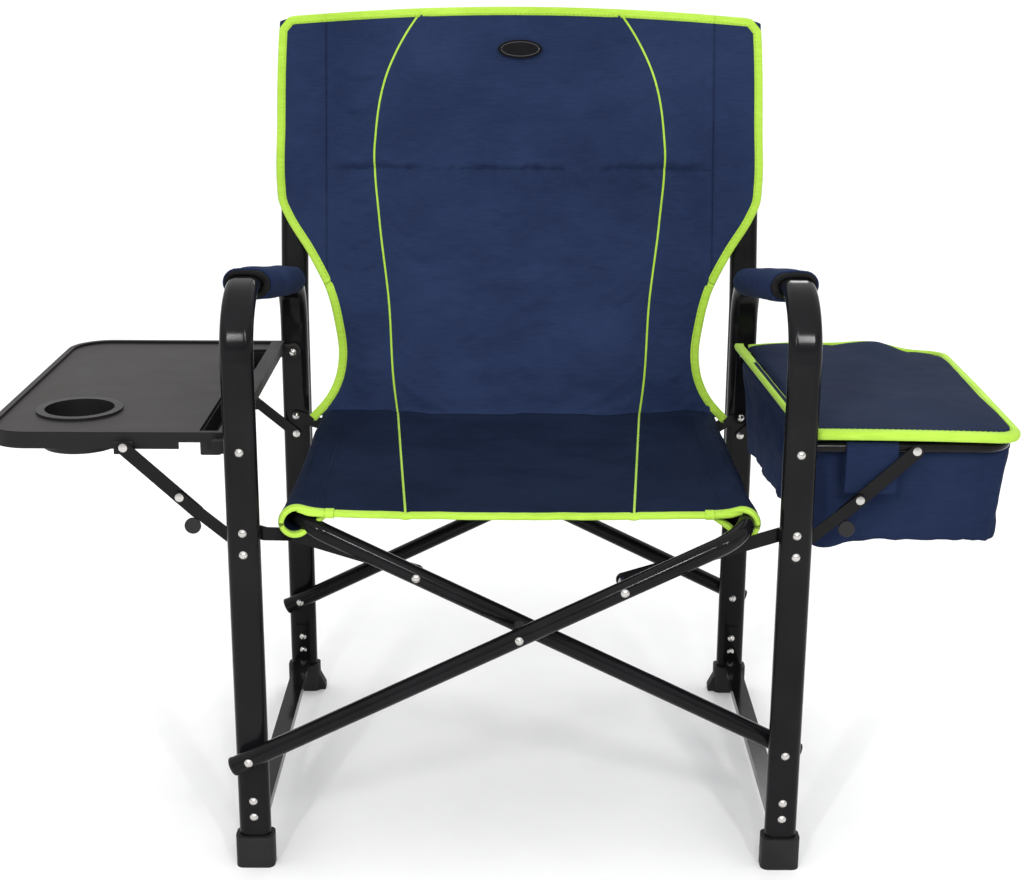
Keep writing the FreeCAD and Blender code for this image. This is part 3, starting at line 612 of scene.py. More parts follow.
def applied(piece: bpy.types.Object) -> None:
    """Turn the piece's modifiers into its mesh."""
    view = bpy.context.evaluated_depsgraph_get()
    mesh = bpy.data.meshes.new_from_object(piece.evaluated_get(view))
    piece.modifiers.clear()
    piece.data = mesh
    mesh.polygons.foreach_set("use_smooth", [True] * len(mesh.polygons))


def coordinates(mesh: bpy.types.Mesh) -> np.ndarray:
    """Read a mesh's vertices as an array."""
    flat = np.empty(len(mesh.vertices) * 3)
    mesh.vertices.foreach_get("co", flat)
    return flat.reshape(-1, 3)


@dataclass(frozen=True)
class ClothRun:
    """One short cloth simulation and how far it may move a point."""

    frames: int = 20
    pressure: float = 0.0
    gravity: float = 1.0
    slack: float = 0.0
    stiffness: float = 18.0
    bending: float = 0.6
    cap: float = 0.008

    def settle(self, piece: bpy.types.Object, pinned: np.ndarray | None = None) -> None:
        """Simulate a piece and keep the result as its mesh.

        Args:
            piece: the piece, with no modifiers.
            pinned: weights from 0, free, to 1, held, one for each vertex.
        """
        cloth = piece.modifiers.new("settle", "CLOTH")
        settings = cloth.settings
        settings.quality = 6
        settings.mass = 0.25
        settings.tension_stiffness = self.stiffness
        settings.compression_stiffness = self.stiffness
        settings.shear_stiffness = self.stiffness / 2
        settings.bending_stiffness = self.bending
        settings.air_damping = 4
        settings.shrink_min = -self.slack
        settings.effector_weights.gravity = self.gravity
        cloth.collision_settings.use_collision = False
        cloth.collision_settings.use_self_collision = False
        if self.pressure:
            settings.use_pressure = True
            settings.uniform_pressure_force = self.pressure
        if pinned is not None:
            group = piece.vertex_groups.new(name="held")
            for number, weight in enumerate(pinned.ravel()):
                if weight > 0:
                    group.add([number], float(weight), "REPLACE")
            settings.vertex_group_mass = "held"
        cloth.point_cache.frame_start = 1
        cloth.point_cache.frame_end = self.frames
        for step in range(1, self.frames + 1):
            bpy.context.scene.frame_set(step)
        before = coordinates(piece.data)
        view = bpy.context.evaluated_depsgraph_get()
        after = coordinates(piece.evaluated_get(view).data)
        moved = after - before
        size = np.linalg.norm(moved, axis=1, keepdims=True)
        limit = self.cap * np.tanh(size / self.cap)
        settled = before + moved * limit / np.maximum(size, 1e-9)
        piece.modifiers.clear()
        piece.vertex_groups.clear()
        piece.data.vertices.foreach_set("co", settled.ravel())
        piece.data.update()
        bpy.context.scene.frame_set(1)


def settled_grid(grid: np.ndarray, held: np.ndarray, run: ClothRun, wrap: bool = False) -> np.ndarray:
    """Let a grid of points settle as cloth.

    Args:
        grid: points, rows by columns by 3.
        held: weights from 0, free, to 1, held, rows by columns.
        run: the simulation.
        wrap: whether the last column joins the first.

    Returns:
        The settled grid.
    """
    mesh = bpy.data.meshes.new("settling")
    mesh.from_pydata([tuple(p) for p in grid.reshape(-1, 3)], [], grid_faces(*grid.shape[:2], 0, wrap))
    sheet = bpy.data.objects.new("settling", mesh)
    bpy.context.scene.collection.objects.link(sheet)
    run.settle(sheet, held)
    result = coordinates(sheet.data).reshape(grid.shape)
    bpy.data.objects.remove(sheet)
    return result


def puffed(piece: bpy.types.Object, voxel: float, run: ClothRun) -> None:
    """Remesh a closed piece, blow it up a little as cloth and smooth it.

    Args:
        piece: the closed piece.
        voxel: voxel size of the remesh, in metres.
        run: the simulation.
    """
    remesh = piece.modifiers.new("even", "REMESH")
    remesh.mode = "VOXEL"
    remesh.voxel_size = voxel
    applied(piece)
    run.settle(piece)
    smooth = piece.modifiers.new("smooth", "SUBSURF")
    smooth.levels = 1
    applied(piece)


# ---- hard parts --------------------------------------------------------------------------
@dataclass
class HardParts:
    """The CAD pieces that keep their shape and get their real finish."""

    def build(self) -> None:
        """Dress every CAD node by the material slot it was packed with."""
        for name, node in sorted(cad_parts.items()):
            slot = Slot(node.data.materials[0].name.split(".")[0])
            if slot in FINISHES:
                finish = NODE_FINISHES.get(name, FINISHES[slot])
                node.material_slots[0].material = finish.build()
            LOG.info("%s is dressed as %s", name, slot.value)


# ---- back fabric -------------------------------------------------------------------------
@dataclass
class BackSling:
    """Back fabric: a stretched middle panel and a pocket round each post."""

    bottom: float = 0.437
    crown: float = 0.984
    seam_x: float = 0.270
    pocket_low: float = 0.612
    pocket_open: float = 0.706
    fold_z: float = 0.767
    cloth: float = 0.0030
    tape: float = 0.0105
    keep: float = 0.205
    bow: float = 0.014
    widest: float = 0.335
    crown_drop: float = 0.015
    corner_drop: float = 0.006
    fold_depth: float = 0.0042
    bulge_depth: float = 0.0045
    groove_depth: float = 0.0016
    pipe_depth: float = 0.0018
    patch_z: float = 0.928
    patch_half: tuple = (0.031, 0.0125)
    patch_seam_half: tuple = (0.0262, 0.0096)
    half_z: tuple = (0.437, 0.458, 0.486, 0.515, 0.560, 0.600, 0.650, 0.700, 0.722, 0.745, 0.830, 0.900, 0.960, 0.99)
    half_x: tuple = (0.2900, 0.270, 0.2550, 0.2500, 0.2560, 0.2670, 0.2930, 0.3250, 0.3350, 0.3375, 0.3370, 0.3360,
                     0.3330, 0.3300)
    lean_z: tuple = (0.437, 0.50, 0.60, 0.66, 0.72, 0.82, 0.90, 0.96, 0.99)
    lean_y: tuple = (0.158, 0.178, 0.214, 0.2335, 0.2485, 0.2705, 0.2880, 0.3010, 0.3075)
    pipe_z: tuple = (0.437, 0.479, 0.586, 0.692, 0.803, 0.907, 0.964, 0.985)
    pipe_x: tuple = (0.168, 0.174, 0.1825, 0.196, 0.2025, 0.181, 0.149, 0.133)

    def half(self, z: np.ndarray) -> np.ndarray:
        """Half-width of the fabric at a height."""
        return through(z, self.half_z, self.half_x)

    def top(self, x: np.ndarray) -> np.ndarray:
        """Height of the top edge at a distance from the middle."""
        share = np.abs(x) / self.widest
        return self.crown - self.crown_drop * share ** 2 - self.corner_drop * smooth_step(share, 0.94, 1.0)

    def depth(self, x: np.ndarray, z: np.ndarray) -> np.ndarray:
        """Y of the fabric's face, bowed between the posts and drawn in at its seams."""
        lean = through(z, self.lean_z, self.lean_y)
        share = np.clip(np.abs(x) / self.seam_x, 0, 1)
        bow = self.bow * (1 - share ** 2) * smooth_step(z, 0.44, 0.60)
        fold = self.fold_depth * np.exp(-((z - self.fold_z) / 0.0045) ** 2)
        bulge = -self.bulge_depth * np.exp(-((z - self.fold_z - 0.018) / 0.014) ** 2)
        middle = smooth_step(-np.abs(x), -self.seam_x, -self.seam_x + 0.03)
        groove = self.groove_depth * np.exp(-((np.abs(x) - self.seam_x) / 0.004) ** 2)
        pipe = self.pipe_depth * np.exp(-((np.abs(x) - through(z, self.pipe_z, self.pipe_x)) / 0.004) ** 2)
        return lean + bow + (fold + bulge) * middle + groove + pipe

    def face(self, x: np.ndarray, z: np.ndarray) -> np.ndarray:
        """Points of the fabric's face."""
        return np.stack([x, self.depth(x, z), z], axis=-1)

    def normals(self, path: np.ndarray) -> np.ndarray:
        """Normals of the fabric's face at points on it, towards the sitter."""
        step = 0.004
        x, z = path[:, 0], path[:, 2]
        across = self.face(x + step, z) - self.face(x - step, z)
        rise = self.face(x, z + step) - self.face(x, z - step)
        return unit(np.cross(across, rise))

    def squashed(self, piece: bpy.types.Object) -> bpy.types.Object:
        """Give a piece of the middle panel its own copy of its mesh."""
        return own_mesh(piece)

    def middle_grid(self) -> np.ndarray:
        """Settled middle surface of the panel between the two post seams."""
        rows, columns = ((140, 136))
        v = np.linspace(0, 1, rows)[:, None]
        u = np.linspace(-1, 1, columns)[None, :]
        level = self.bottom + v * (self.top(0.2) - self.bottom)
        limit = np.where(level > 0.55, np.minimum(self.half(level), self.seam_x), self.half(level))
        x = u * limit
        z = self.bottom + v * (self.top(x) - self.bottom)
        grid = self.face(x, z)
        ease = smooth_step(limit - np.abs(x), 0.011, 0.034) * smooth_step(v, 0, 0.05) * smooth_step(1 - v, 0.02, 0.06)
        seam = 1 - np.exp(-((np.abs(grid[..., 0]) - through(z, self.pipe_z, self.pipe_x)) / 0.012) ** 2)
        broad = wrinkles(grid, (5.0, 5.0, 9.0), 0.0075, 3.1)
        fine = wrinkles(grid, (16.0, 9.0, 34.0), 0.0030, 7.7)
        puckers = wrinkles(grid, (70.0, 5.0, 14.0), 0.0032, 1.3)
        puckers = puckers * np.exp(-((z - self.fold_z) / 0.022) ** 2)
        grid[..., 1] += (broad + fine + puckers) * ease * seam
        held = np.zeros(grid.shape[:2])
        held[[0, -1], :] = 1
        held[limit - np.abs(x) < 0.012] = 1
        held[self.top(x) - z < 0.012] = 1
        held[np.abs(z - self.fold_z) < 0.003] = 0.8
        held[seam < 0.12] = 1
        run = ClothRun(frames=22, gravity=1.0, slack=0.012, stiffness=12, bending=0.35, cap=0.009)
        return settled_grid(grid, held, run)

    def pocket_grid(self, side: Side, rear: bool) -> np.ndarray:
        """Middle surface of one layer of a post pocket.

        Args:
            side: which post.
            rear: the layer behind the post, or else the one before it.

        Returns:
            The grid.
        """
        rows, columns = 96, 26
        low = self.pocket_open if rear else self.pocket_low
        v = np.linspace(0, 1, rows)[:, None]
        u = np.linspace(0, 1, columns)[None, :]
        level = low + v * (self.top(0.3) - low)
        edge = self.half(level)
        x = self.seam_x + u * (edge - self.seam_x)
        z = low + v * (self.top(x) - low)
        if rear:
            behind = through(u * np.ones_like(z), (0, 0.1, 0.35, 0.55, 0.8, 0.93, 1),
                             (0.002, 0.008, 0.020, 0.0265, 0.0275, 0.022, 0.004))
            behind = behind * (1 - 0.75 * smooth_step(v, 0.97, 1.0))
            x = x + 0.0035 * np.exp(-((u - 0.95) / 0.05) ** 2)
            grid = np.stack([x, self.depth(x, z) + behind, z], axis=-1)
            grid[..., 1] += wrinkles(grid, (30, 20, 14), 0.0018, 5.5) * np.sin(math.pi * u)
        else:
            grid = self.face(x, z)
            over_post = -0.0012 * np.exp(-((u - 0.7) / 0.3) ** 2)
            ease = smooth_step(x - self.seam_x, 0, 0.014) * smooth_step(edge - x, 0.010, 0.026)
            ease = ease * smooth_step(self.top(x) - z, 0.012, 0.04)
            grid[..., 1] += (wrinkles(grid, (22, 10, 26), 0.0024, 9.2) + over_post) * ease
        grid[..., 0] *= side.value
        return grid if side is Side.RIGHT else grid[:, ::-1]

    def edge_path(self, z: np.ndarray, side: Side) -> np.ndarray:
        """Points down the fabric's side edge at given heights."""
        path = self.face(self.half(z), z)
        path[:, 0] *= side.value
        return path

    def top_path(self, x: np.ndarray) -> np.ndarray:
        """Points along the fabric's top edge."""
        return self.face(x, self.top(x))

    def bind(self, name: str, path: np.ndarray, body: str, sign: float, width: float) -> list[bpy.types.Object]:
        """Sew lime tape over an edge, with a row of stitches in it.

        Args:
            name: name of the tape.
            path: points along the edge.
            body: body that it rides on.
            sign: side that the fabric lies on.
            width: how far the tape reaches in.

        Returns:
            The tape and its stitches.
        """
        path = resampled(path, 0.004)
        out = self.normals(path)
        wave = wrinkles(path, (28, 28, 28), 0.0005, 2.2)[:, None]
        path = path + out * wave
        points, faces = sweep(path, out, tape_profile(width, self.cloth / 2 + 0.0014), sign)
        tape = make_piece(name, points, faces, LIME_TAPE, Slot.NAVY, body)
        side = unit(np.cross(out, unit(np.gradient(path, axis=0)))) * sign
        seam = path + side * width * 0.78 + out * (self.cloth / 2 + 0.0015)
        points, faces = stitch_run(seam, out)
        threads = make_piece(name + "_stitches", points, faces, LIME_THREAD, Slot.NAVY, body)
        return [tape, threads]

    def seam_stitches(self, name: str, path: np.ndarray, body: str) -> bpy.types.Object:
        """Sew one row of navy stitches along a path on the face."""
        out = self.normals(path)
        points, faces = stitch_run(path + out * (self.cloth / 2 + 0.0001), out)
        return make_piece(name, points, faces, NAVY_THREAD, Slot.NAVY, body)

    def patch(self) -> list[bpy.types.Object]:
        """Sew a plain oval patch with a stitched rim under the top edge."""
        rings = [(0.0, 0.0021), (0.6, 0.0021), (0.86, 0.0019), (0.90, 0.0026), (0.97, 0.0026), (1.0, 0.0014),
                 (1.0, 0.0)]
        turn = np.linspace(0, math.tau, 64, endpoint=False)
        grid = []
        for share, lift in rings:
            x = self.patch_half[0] * share * np.cos(turn)
            z = self.patch_z + self.patch_half[1] * share * np.sin(turn)
            ring = self.face(x, z)
            grid.append(ring + self.normals(ring) * (lift + self.cloth / 2))
        grid = np.array(grid)
        faces = grid_faces(len(rings), len(turn), 0, True, True)
        oval = make_piece("back_patch", grid, faces, PATCH_CLOTH, Slot.NAVY, "left_frame")
        wide, high = self.patch_seam_half
        rim = self.face(wide * np.cos(turn), self.patch_z + high * np.sin(turn))
        rim = np.concatenate([rim, rim[:1]])
        out = self.normals(rim)
        points, faces = stitch_run(rim + out * (self.cloth / 2 + 0.0022), out, 0.0034, 0.0026, 0.0004)
        threads = make_piece("back_patch_stitches", points, faces, GREY_THREAD, Slot.NAVY, "left_frame")
        return [self.squashed(oval), self.squashed(threads)]

    def build(self) -> None:
        """Build the panel, the pockets and everything sewn to them."""
        grid = self.middle_grid()
        panel = make_piece("back_panel", *shell(grid, self.cloth), BACK_CLOTH, Slot.NAVY, "left_frame")
        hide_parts("back_sling")
        self.squashed(panel)
        sewn = self.patch()
        top = self.top_path(np.linspace(-self.seam_x, self.seam_x, 90))
        sewn += [self.squashed(p) for p in self.bind("back_top_binding", top, "left_frame", -1, self.tape)]
        fold_x = np.linspace(-self.seam_x + 0.004, self.seam_x - 0.004, 120)
        fold = self.face(fold_x, np.full_like(fold_x, self.fold_z))
        sewn.append(self.squashed(self.seam_stitches("back_fold_stitches", fold, "left_frame")))
        for side in Side:
            heights = np.linspace(self.bottom, self.pocket_low, 60)
            edge = self.edge_path(heights, side)
            tapes = self.bind(f"{side.word}_waist_binding", edge, "left_frame", side.value, self.tape)
            sewn += [self.squashed(p) for p in tapes]
            heights = np.linspace(self.bottom, self.top(0.13) - 0.004, 120)
            pipe = self.face(through(heights, self.pipe_z, self.pipe_x), heights)
            pipe[:, 0] *= side.value
            out = self.normals(pipe)
            pipe = pipe + out * (self.cloth / 2 + 0.0004)
            points, faces = sweep(pipe, out, round_profile(0.0015))
            piping = make_piece(f"{side.word}_back_piping", points, faces, LIME_TAPE, Slot.NAVY, "left_frame")
            sewn.append(self.squashed(piping))
            self.build_pocket(side)

    def build_pocket(self, side: Side) -> None:
        """Build the two layers of one post pocket, their binding and their seam.

        Args:
            side: which post.
        """
        body = side.word + "_frame"
        front_grid = self.pocket_grid(side, False)
        rear_grid = self.pocket_grid(side, True)
        front = make_piece(f"{side.word}_pocket_front", *shell(front_grid, self.cloth), BACK_CLOTH, Slot.NAVY, body)
        rear = make_piece(f"{side.word}_pocket_rear", *shell(rear_grid, 0.0016), BACK_CLOTH, Slot.NAVY, body)
        heights = np.linspace(self.pocket_low, 0.955, 120)
        edge = self.edge_path(heights, side)
        inner = np.linspace(0.322, self.seam_x, 30)
        crown = self.top_path(inner)
        crown[:, 0] *= side.value
        path = np.concatenate([edge, crown])
        sewn = self.bind(f"{side.word}_side_binding", path, body, side.value, self.tape)
        heights = np.linspace(self.pocket_low + 0.01, self.top(self.seam_x) - 0.012, 100)
        seam = self.face(np.full_like(heights, self.seam_x), heights)
        seam[:, 0] *= side.value
        sewn.append(self.seam_stitches(f"{side.word}_post_seam_stitches", seam, body))


# ---- seat fabric -------------------------------------------------------------------------
@dataclass
class SeatSling:
    """Seat fabric: a stretched panel with a sleeve round each seat rail."""

    rail_x: float = 0.26005
    rail_z: float = 0.4314
    tube: float = 0.011
    front: float = -0.277
    back: float = 0.157
    sag: float = 0.007
    pipe_depth: float = 0.0014
    cloth: float = 0.0028
    bend: float = 0.040
    slope: float = 26.2
    edge_roll: float = 0.0048
    sleeve_bend_y: float = -0.262
    sleeve_turn: float = 20.0
    keep: float = 0.194
    trim: float = 0.0078

    def face(self, x: np.ndarray, y: np.ndarray) -> np.ndarray:
        """Points of the seat's upper face, sagging between the rails."""
        share = np.clip(np.abs(x) / self.rail_x, 0, 1)
        along = (y - self.front) / (self.back - self.front)
        dip = self.sag * (1 - share ** 2.6) * (0.55 + 0.6 * np.sin(math.pi * np.clip(along, 0, 1)))
        pipe = self.pipe_depth * np.exp(-((np.abs(x) - self.pipe(y)) / 0.004) ** 2)
        roll = self.edge_roll * (1 - smooth_step(y - self.front, 0.0, 0.016))
        roll = roll * smooth_step(self.rail_x - np.abs(x), 0.0, 0.02)
        z = self.rail_z + self.tube + 0.0022 - dip - pipe - roll
        return np.stack([x, y, z], axis=-1)

    def pipe(self, y: np.ndarray) -> np.ndarray:
        """Distance of the piping from the middle."""
        return through(y, (self.front, self.back), (0.1315, 0.168))

    def squashed(self, piece: bpy.types.Object) -> bpy.types.Object:
        """Give a piece of the panel its own copy of its mesh."""
        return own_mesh(piece)

    def rail_path(self, side: Side, start: float, turn: float) -> np.ndarray:
        """Centre line of a seat rail, from the back to part of the way round its front bend.

        Args:
            side: which rail.
            start: Y where the straight run ends and the bend starts.
            turn: how far round the bend, in degrees.

        Returns:
            Points along the line.
        """
        run = np.linspace(self.back - 0.006, start, 60)
        straight = np.array([(side.value * self.rail_x, y, self.rail_z) for y in run])
        inward = np.array([-side.value * math.cos(math.radians(self.slope)), 0, -math.sin(math.radians(self.slope))])
        angles = np.radians(np.linspace(0, turn, 18))[1:, None]
        ahead = np.array([0, -1, 0])
        arc = straight[-1] + self.bend * (np.sin(angles) * ahead + (1 - np.cos(angles)) * inward)
        return np.concatenate([straight, arc])

    def sleeve(self, side: Side) -> None:
        """Build the sleeve round one rail, flared where the tube bends out of it.

        Args:
            side: which rail.
        """
        body = "cross_b" if side is Side.LEFT else "cross_a"
        path = resampled(self.rail_path(side, self.sleeve_bend_y, self.sleeve_turn), 0.004)
        along = unit(np.gradient(path, axis=0))
        up = unit(np.array([0, 0, 1.0]) - along * along[:, 2:3])
        out = unit(np.cross(along, up)) * (-side.value)
        reach = np.linspace(0, 1, len(path))[:, None]
        turn = np.linspace(0, math.tau, 40, endpoint=False)[None, :]
        flare = 0.0035 * smooth_step(reach, 0.8, 1.0)
        radius = self.tube + 0.0024 + flare
        across = np.cos(turn) * radius
        rise = np.sin(turn) * radius
        apex = smooth_step(-np.cos(turn), 0.35, 1.0) * (0.35 + 0.65 * smooth_step(reach, 0.6, 1.0))
        across = across - apex * 0.020
        rise = rise * (1 - 0.82 * apex) + apex * (self.tube * 0.62)
        ring = out[:, None] * across[..., None] + up[:, None] * rise[..., None]
        grid = path[:, None] + ring
        rough = wrinkles(grid, (18, 22, 18), 0.0016, 4.4)[..., None]
        grid += unit(ring) * rough * smooth_step(reach, 0.02, 0.2)[..., None]
        if side is Side.LEFT:
            grid = grid[:, ::-1]
        tube = make_piece(f"{side.word}_seat_sleeve", *shell(grid, 0.002, True), SEAT_SHADE_CLOTH, Slot.NAVY, body)
        rim = grid[-1] + along[-1] * 0.002
        out_rim = unit(rim - rim.mean(axis=0))
        points, faces = sweep(rim, out_rim, tape_profile(0.0075, 0.0030), -1, True)
        tape = make_piece(f"{side.word}_sleeve_binding", points, faces, LIME_TAPE, Slot.NAVY, body)

    def grid(self) -> np.ndarray:
        """Settled middle surface of the panel."""
        rows, columns = ((110, 130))
        y = np.linspace(self.back, self.front, rows)[:, None] * np.ones((1, columns))
        x = np.linspace(self.rail_x, -self.rail_x, columns)[None, :] * np.ones((rows, 1))
        grid = self.face(x, y)
        edge = smooth_step(self.rail_x - np.abs(x), 0, 0.03) * smooth_step(y - self.front, 0, 0.02)
        seam = 1 - np.exp(-((np.abs(x) - self.pipe(y)) / 0.012) ** 2)
        rough = wrinkles(grid, (7, 5, 5), 0.0050, 6.1) + wrinkles(grid, (14, 26, 9), 0.0018, 8.8)
        grid[..., 2] += rough * edge * seam
        held = np.zeros(grid.shape[:2])
        held[[0, -1], :] = 1
        held[:, [0, -1]] = 1
        held[seam < 0.12] = 1
        return settled_grid(grid, held, ClothRun(slack=0.010, stiffness=14, bending=0.4, cap=0.005))

    def build(self) -> None:
        """Build the panel, its sleeves, piping and front trim."""
        grid = self.grid()
        panel = make_piece("seat_panel", *shell(grid, self.cloth), SEAT_SHADE_CLOTH, Slot.NAVY, "seat")
        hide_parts("seat_sling")
        self.squashed(panel)
        sewn = []
        x = np.linspace(-self.rail_x + 0.004, self.rail_x - 0.004, 150)
        edge = self.face(x, np.full_like(x, self.front))
        up = np.tile((0.0, -0.25, 0.97), (len(edge), 1))
        edge = edge + up * wrinkles(edge, (16, 16, 16), 0.0010, 3.3)[:, None]
        points, faces = sweep(edge, up, tape_profile(self.trim, self.cloth / 2 + 0.0016, 0.0022), 1)
        sewn.append(make_piece("seat_front_binding", points, faces, LIME_TAPE, Slot.NAVY, "seat"))
        seam = edge + np.array([0, self.trim * 0.8, self.cloth / 2 + 0.0017])
        points, faces = stitch_run(seam, up)
        sewn.append(make_piece("seat_front_stitches", points, faces, LIME_THREAD, Slot.NAVY, "seat"))
        for side in Side:
            y = np.linspace(self.back, self.front + 0.004, 90)
            pipe = self.face(side.value * self.pipe(y), y)
            out = np.tile((0.0, 0.0, 1.0), (len(pipe), 1))
            points, faces = sweep(pipe + out * (self.cloth / 2 + 0.0004), out, round_profile(0.0015))
            sewn.append(make_piece(f"{side.word}_seat_piping", points, faces, LIME_TAPE, Slot.NAVY, "seat"))
            sewn.append(self.tab(side))
            seam = self.face(np.full_like(y, side.value * (self.rail_x - 0.024)), y)
            points, faces = stitch_run(seam + out * (self.cloth / 2 + 0.0001), out)
            sewn.append(make_piece(f"{side.word}_sleeve_stitches", points, faces, NAVY_THREAD, Slot.NAVY, "seat"))
            self.sleeve(side)
        for piece in sewn:
            self.squashed(piece)

    def tab(self, side: Side) -> bpy.types.Object:
        """Sew a short doubled tab of tape where the front trim meets the sleeve."""
        x = side.value * np.linspace(self.rail_x - 0.046, self.rail_x - 0.036, 9)
        path = self.face(x, np.full_like(x, self.front - 0.0012))
        up = np.tile((0.0, -0.25, 0.97), (len(path), 1))
        points, faces = sweep(path, up, tape_profile(self.trim + 0.002, self.cloth / 2 + 0.0028, 0.0030), side.value)
        return make_piece(f"{side.word}_trim_tab", points, faces, LIME_TAPE, Slot.NAVY, "seat")


# ---- arm covers --------------------------------------------------------------------------
@dataclass
class ArmPad:
    """Foam sleeve and fabric cover round one arm."""

    side: Side
    leg_x: float = 0.316
    leg_y: float = -0.293
    leg_top: float = 0.7094
    fall: float = -0.0906 / 0.508
    bend: float = 0.072
    wide: float = 0.038
    thick: float = 0.020

    def ring(self, y: np.ndarray, grow: np.ndarray, turn: np.ndarray) -> np.ndarray:
        """Points round the flat-oval arm.

        Args:
            y: Y of each point's station.
            grow: distance from the metal, for each point.
            turn: angle of each point, 0 at the outer side and a quarter turn at the top.

        Returns:
            The points.
        """
        run = (self.wide - self.thick) / 2
        cos, sin = np.cos(turn), np.sin(turn)
        across = run * np.clip(cos * 3.0, -1, 1) + (self.thick / 2 + grow) * cos
        height = (self.thick / 2 + grow) * sin
        tilt = unit(np.array([0, -self.fall, 1.0]))
        level = self.leg_top + self.fall * (y - self.leg_y)
        centre = np.stack([np.full_like(y, self.side.value * self.leg_x), y, level], axis=-1)
        return centre + np.stack([across, tilt[1] * height, tilt[2] * height], axis=-1)

    def layer(self, name: str, slot: Slot, finish: object, inner: float, outer: float, front: Callable,
              rear: float, bumps: float) -> bpy.types.Object:
        """Build one closed sleeve round the arm.

        Args:
            name: the piece's name.
            slot: the record's material slot.
            finish: its finish.
            inner: distance of its inner face from the metal.
            outer: distance of its outer face from the metal.
            front: Y of the front edge as a function of the angle.
            rear: Y of the rear edge.
            bumps: height of its wrinkles.

        Returns:
            The piece.
        """
        turn = np.linspace(0, math.tau, 56, endpoint=False)[None, :]
        share = np.linspace(0, 1, 72)[:, None]
        start = front(turn)
        y = rear + (start - rear) * share
        swell = 0.0012 * np.sin(math.pi * share) ** 0.5
        outside = self.ring(y, outer + swell + 0 * turn, turn + 0 * share)
        outside += wrinkles(outside, (24, 14, 24), bumps, 2.0 + self.side.value)[..., None] * unit(
            outside - outside.mean(axis=1, keepdims=True)) * smooth_step(np.sin(math.pi * share), 0, 0.25)[..., None]
        inside = self.ring(y, inner + 0 * turn + 0 * share, turn + 0 * share)
        grid = np.concatenate([outside, inside[::-1]])
        rows, columns = grid.shape[:2]
        faces = grid_faces(rows, columns, 0, True)
        last = (rows - 1) * columns
        faces += [(last + c, last + (c + 1) % columns, (c + 1) % columns, c) for c in range(columns)]
        return make_piece(name, grid, faces, finish, slot, f"{self.side.word}_frame")

    def build(self) -> None:
        """Build the foam, the cover and the cover's hem stitches."""
        word = self.side.word
        low, high = box_of(f"{word}_arm_cover")
        front_y, rear_y = low.y, high.y
        sign = -self.side.value

        def foam_edge(turn: np.ndarray) -> np.ndarray:
            """Front edge of the foam, further forward on top."""
            return front_y - 0.008 - 0.014 * np.clip(np.sin(turn), 0, 1) + 0.002 * np.sin(5 * turn)

        def cover_edge(turn: np.ndarray) -> np.ndarray:
            """Front edge of the cover, cut slantwise so that the foam shows on the chair side."""
            return front_y + 0.004 - 0.012 * np.sin(turn) + 0.010 * sign * np.cos(turn)

        foam = self.layer(f"{word}_foam_sleeve", Slot.FOAM, FINISHES[Slot.FOAM], 0.0004, 0.0056, foam_edge,
                          rear_y - 0.003, 0.0008)
        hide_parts(f"{word}_arm_foam")
        cover = self.layer(f"{word}_arm_wrap", Slot.NAVY, ARM_CLOTH, 0.0060, 0.0082, cover_edge, rear_y, 0.0016)
        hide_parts(f"{word}_arm_cover")
        turn = np.linspace(0, math.tau, 80)
        for end, offset, edge in (("front", 0.006, cover_edge(turn)), ("rear", -0.006, np.full_like(turn, rear_y))):
            seam = self.ring(edge + offset, np.full_like(turn, 0.0084), turn)
            out = unit(seam - seam.mean(axis=0))
            points, faces = stitch_run(seam, out, 0.005, 0.0036, 0.00045)
            make_piece(f"{word}_arm_{end}_stitches", points, faces, NAVY_THREAD, Slot.NAVY, f"{word}_frame")


